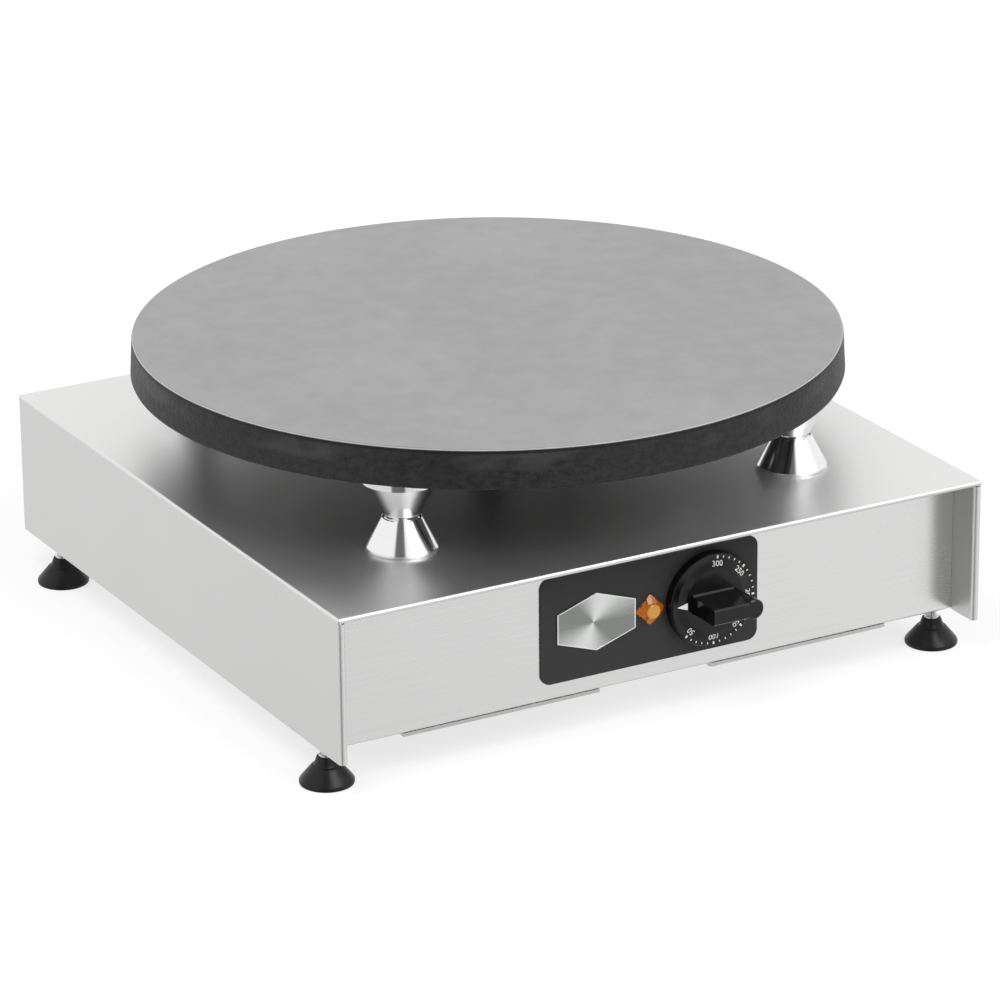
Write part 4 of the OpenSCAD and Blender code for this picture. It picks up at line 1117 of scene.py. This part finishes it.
@dataclass
class Wiring:
    """Cable gland and the electrical parts inside the housing."""

    dome_r: float = 11.0 * MM
    rib_from: float = 12.0 * MM
    rib_to: float = 5.6 * MM
    rib_w: float = 1.1 * MM
    rib_sides: int = 8
    ribs: int = 24
    gland: Moulded = Moulded("gland_black", (0.025, 0.025, 0.026), 0.45, grain=900.0)
    ceramic: Moulded = Moulded("ceramic_white", (0.80, 0.78, 0.70), 0.35, grain=700.0, spread=0.06, coat=0.3)
    sleeve: Moulded = Moulded(
        "glass_sleeve", (0.42, 0.14, 0.05), 0.8, grain=900.0, depth=0.1 * MM, spread=0.2
    )
    wire: Moulded = Moulded("wire_black", (0.03, 0.03, 0.03), 0.45)

    def gland_ribs(self, material: bpy.types.Material) -> bpy.types.Object:
        """Sets grip ribs round the gland's sealing nut.

        Args:
            material: Their finish.

        Returns:
            The ribs as one piece.
        """
        weave = Weave(
            "gland_ribs",
            Ribs=self.ribs,
            Radius=self.dome_r,
            Height=(self.rib_from + self.rib_to) / 2,
            Length=self.rib_from - self.rib_to,
            Width=self.rib_w,
        )
        index = weave.node("GeometryNodeInputIndex")
        angle = index * (2 * math.pi) / weave["Ribs"]
        x, z = weave.ring(angle, weave["Radius"])
        spot = weave.vector(x, 0.0 - weave["Height"], z)
        rows = {"Vertices": self.rib_sides, "Side Segments": 1, "Fill Segments": 1}
        sizes = {"Radius": weave["Width"] / 2.0, "Depth": weave["Length"]}
        rod = weave.node("GeometryNodeMeshCylinder", inputs={**rows, **sizes})
        copies = weave.copies("Ribs", spot, rod, {"Rotation": weave.vector(math.radians(90))})
        middle = middle_of("cable_gland")
        place = Matrix.Translation((middle.x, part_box("cable_gland")[1].y, middle.z))
        return weave.close(copies, material, place)

    def dress(self) -> None:
        """Finishes the gland, the terminals and the wires."""
        gland = self.gland.build()
        dress(gland, "cable_gland", "gland_locknut")
        ribs = self.gland_ribs(gland)
        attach(ribs, "appliance")
        dress(self.ceramic.build(), "terminal_block", "thermostat_body", "overheat_cutout")
        dress(self.sleeve.build(), "heater_leads")
        dress(self.wire.build(), "mains_wires")


# ---- Set


def bearing(azimuth: float, elevation: float) -> Vector:
    """Direction from the appliance, in degrees. Azimuth 0 is the front and 90 the right."""
    a, e = math.radians(azimuth), math.radians(elevation)
    return Vector((math.sin(a) * math.cos(e), -math.cos(a) * math.cos(e), math.sin(e)))


@dataclass
class Studio:
    """Camera, white floor, world and lamps.

    A turn or a rise is a direction in degrees, and a dim is how much darker reflections find it there.
    """

    camera_at: Point = (-1.3555, -2.4485, 1.1411)
    azimuth: float = -29.051
    elevation: float = 20.945
    roll: float = -0.527
    lens: float = 189.37
    white: float = 1.0
    even: float = 0.55
    darkest: float = 0.14
    lamp_away: float = 3.2
    lamp_aim: float = 0.08
    floor_half: float = 6.0
    floor_tone: Colour = (0.80, 0.80, 0.80)
    floor_shine: float = 1.15
    floor_near: float = 0.6
    floor_fade: Pair = (0.45, 1.1)
    walls: float = 0.98
    opening_turn: Pair = (-55.0, -18.0)
    opening_rise: Pair = (-50.0, 82.0)
    opening_dim: float = 0.88
    strip_turn: Pair = (-20.0, 75.0)
    strip_rise: Pair = (-8.0, 12.0)
    strip_dim: float = 0.55
    ceiling_rise: Pair = (58.0, 66.0)
    ceiling_dim: float = 0.25
    ground_rise: Pair = (-12.0, -4.0)
    ground_dim: float = 0.14
    below_rise: Pair = (-28.0, -16.0)
    below_dim: float = 0.24
    right_from: Pair = (26.0, 36.0)
    right_to: Pair = (55.0, 70.0)
    right_lift: float = 0.20

    def camera(self) -> None:
        """Sets the camera at the viewing angle."""
        data = bpy.data.cameras.new("camera")
        data.lens = self.lens
        data.sensor_width = 36.0
        data.clip_start = 0.05
        data.clip_end = 40.0
        camera = link("camera", data)
        back, r = bearing(self.azimuth, self.elevation), math.radians(self.roll)
        right = (-back).cross(Vector((0, 0, 1))).normalized()
        up = right.cross(-back)
        across = right * math.cos(r) + up * math.sin(r)
        upright = -right * math.sin(r) + up * math.cos(r)
        turn = Matrix((across, upright, back)).transposed()
        camera.matrix_world = Matrix.Translation(self.camera_at) @ turn.to_4x4()
        bpy.context.scene.camera = camera

    def world(self) -> None:
        """Lights the set evenly. Reflections see a white studio with a dark gap where it is open."""
        world = bpy.data.worlds.new("studio")
        bpy.context.scene.world = world
        world.use_nodes = True
        graph = Graph(world.node_tree)
        x, y, z = graph.parts(graph.node("ShaderNodeTexCoord", output="Generated"))
        turn = x.function("ARCTAN2", 0.0 - y) * (180 / math.pi)
        rise = z.function("ARCSINE") * (180 / math.pi)
        opening = turn.window(*self.opening_turn, 5.0) * rise.window(*self.opening_rise, 8.0)
        strip = turn.window(*self.strip_turn, 8.0) * rise.window(*self.strip_rise, 5.0)
        ground = (1.0 - rise.clear(*self.ground_rise)) * self.ground_dim
        ground = ground + (1.0 - rise.clear(*self.below_rise)) * self.below_dim
        ceiling = rise.clear(*self.ceiling_rise)
        right_hand = turn.clear(*self.right_from) * (1.0 - turn.clear(*self.right_to)) * self.right_lift
        dim = ground - right_hand + opening * self.opening_dim + strip * self.strip_dim
        room = (self.walls - (dim + ceiling * self.ceiling_dim)).function("MAXIMUM", self.darkest)
        path = graph.node("ShaderNodeLightPath", output="Is Camera Ray")
        glossy = graph.output_of(path, "Is Glossy Ray")
        clear = graph.output_of(path, "Is Transmission Ray")
        shown = path.function("MAXIMUM", clear)
        strength = shown * (self.white - self.even) + glossy * (room - self.even) + self.even
        light = graph.node("ShaderNodeBackground", inputs={"Color": (1, 1, 1, 1), "Strength": strength})
        graph.node("ShaderNodeOutputWorld", inputs={"Surface": light})

    def floor(self) -> None:
        """Lays a plain pale floor, which the camera sees as white."""
        half = self.floor_half
        mesh = bpy.data.meshes.new("floor")
        corners = [(-half, -half, 0), (half, -half, 0), (half, half, 0), (-half, half, 0)]
        mesh.from_pydata(corners, [], [(0, 1, 2, 3)])
        floor = link("floor", mesh)
        recipe = Recipe("floor_white")
        diffuse = recipe.node("ShaderNodeBsdfDiffuse", inputs={"Color": rgba(self.floor_tone)})
        bright = {"Color": (1, 1, 1, 1), "Strength": self.floor_shine * self.white}
        shine = recipe.node("ShaderNodeEmission", inputs=bright)
        seen = recipe.node("ShaderNodeLightPath", output="Is Camera Ray")
        far = recipe.radius(ORIGIN).clear(*self.floor_fade)
        share = seen * (far * (1.0 - self.floor_near) + self.floor_near)
        surface = recipe.node("ShaderNodeMixShader", inputs={0: share, 1: diffuse, 2: shine})
        recipe.node("ShaderNodeOutputMaterial", inputs={"Surface": surface})
        mesh.materials.append(recipe.material)
        floor.visible_glossy = False

    def lamp(self, name: str, back: Vector, size: float, power: float, glints: bool) -> None:
        """Adds a soft square lamp that looks at the appliance.

        Args:
            name: The lamp's name.
            back: Its direction from the appliance.
            size: Length of its side.
            power: Its power in watts.
            glints: Whether it shows in reflections.
        """
        data = bpy.data.lights.new(name, "AREA")
        data.energy = power
        data.size = size
        lamp = link(name, data)
        lamp.visible_glossy = glints
        lamp.location = back * self.lamp_away + Vector((0, 0, self.lamp_aim))
        lamp.rotation_euler = (-back).to_track_quat("-Z", "Y").to_euler()

    def build(self) -> None:
        """Builds the whole set."""
        self.camera()
        self.world()
        self.floor()
        self.lamp("key", bearing(18.0, 44.0), size=1.7, power=40.0, glints=True)
        self.lamp("fill", bearing(-60.0, 55.0), size=1.6, power=48.0, glints=False)
        bpy.context.scene.view_settings.view_transform = "Standard"


def main() -> None:
    """Dresses the appliance, piece by piece, and sets the scene."""
    logging.basicConfig(level=logging.INFO, format="%(message)s")
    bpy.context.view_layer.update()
    Housing().dress()
    Heating().dress()
    Spacers().dress()
    Controls().dress()
    Dial().dress()
    Feet().dress()
    Wiring().dress()
    Studio().build()


if __name__ == "__main__":
    main()
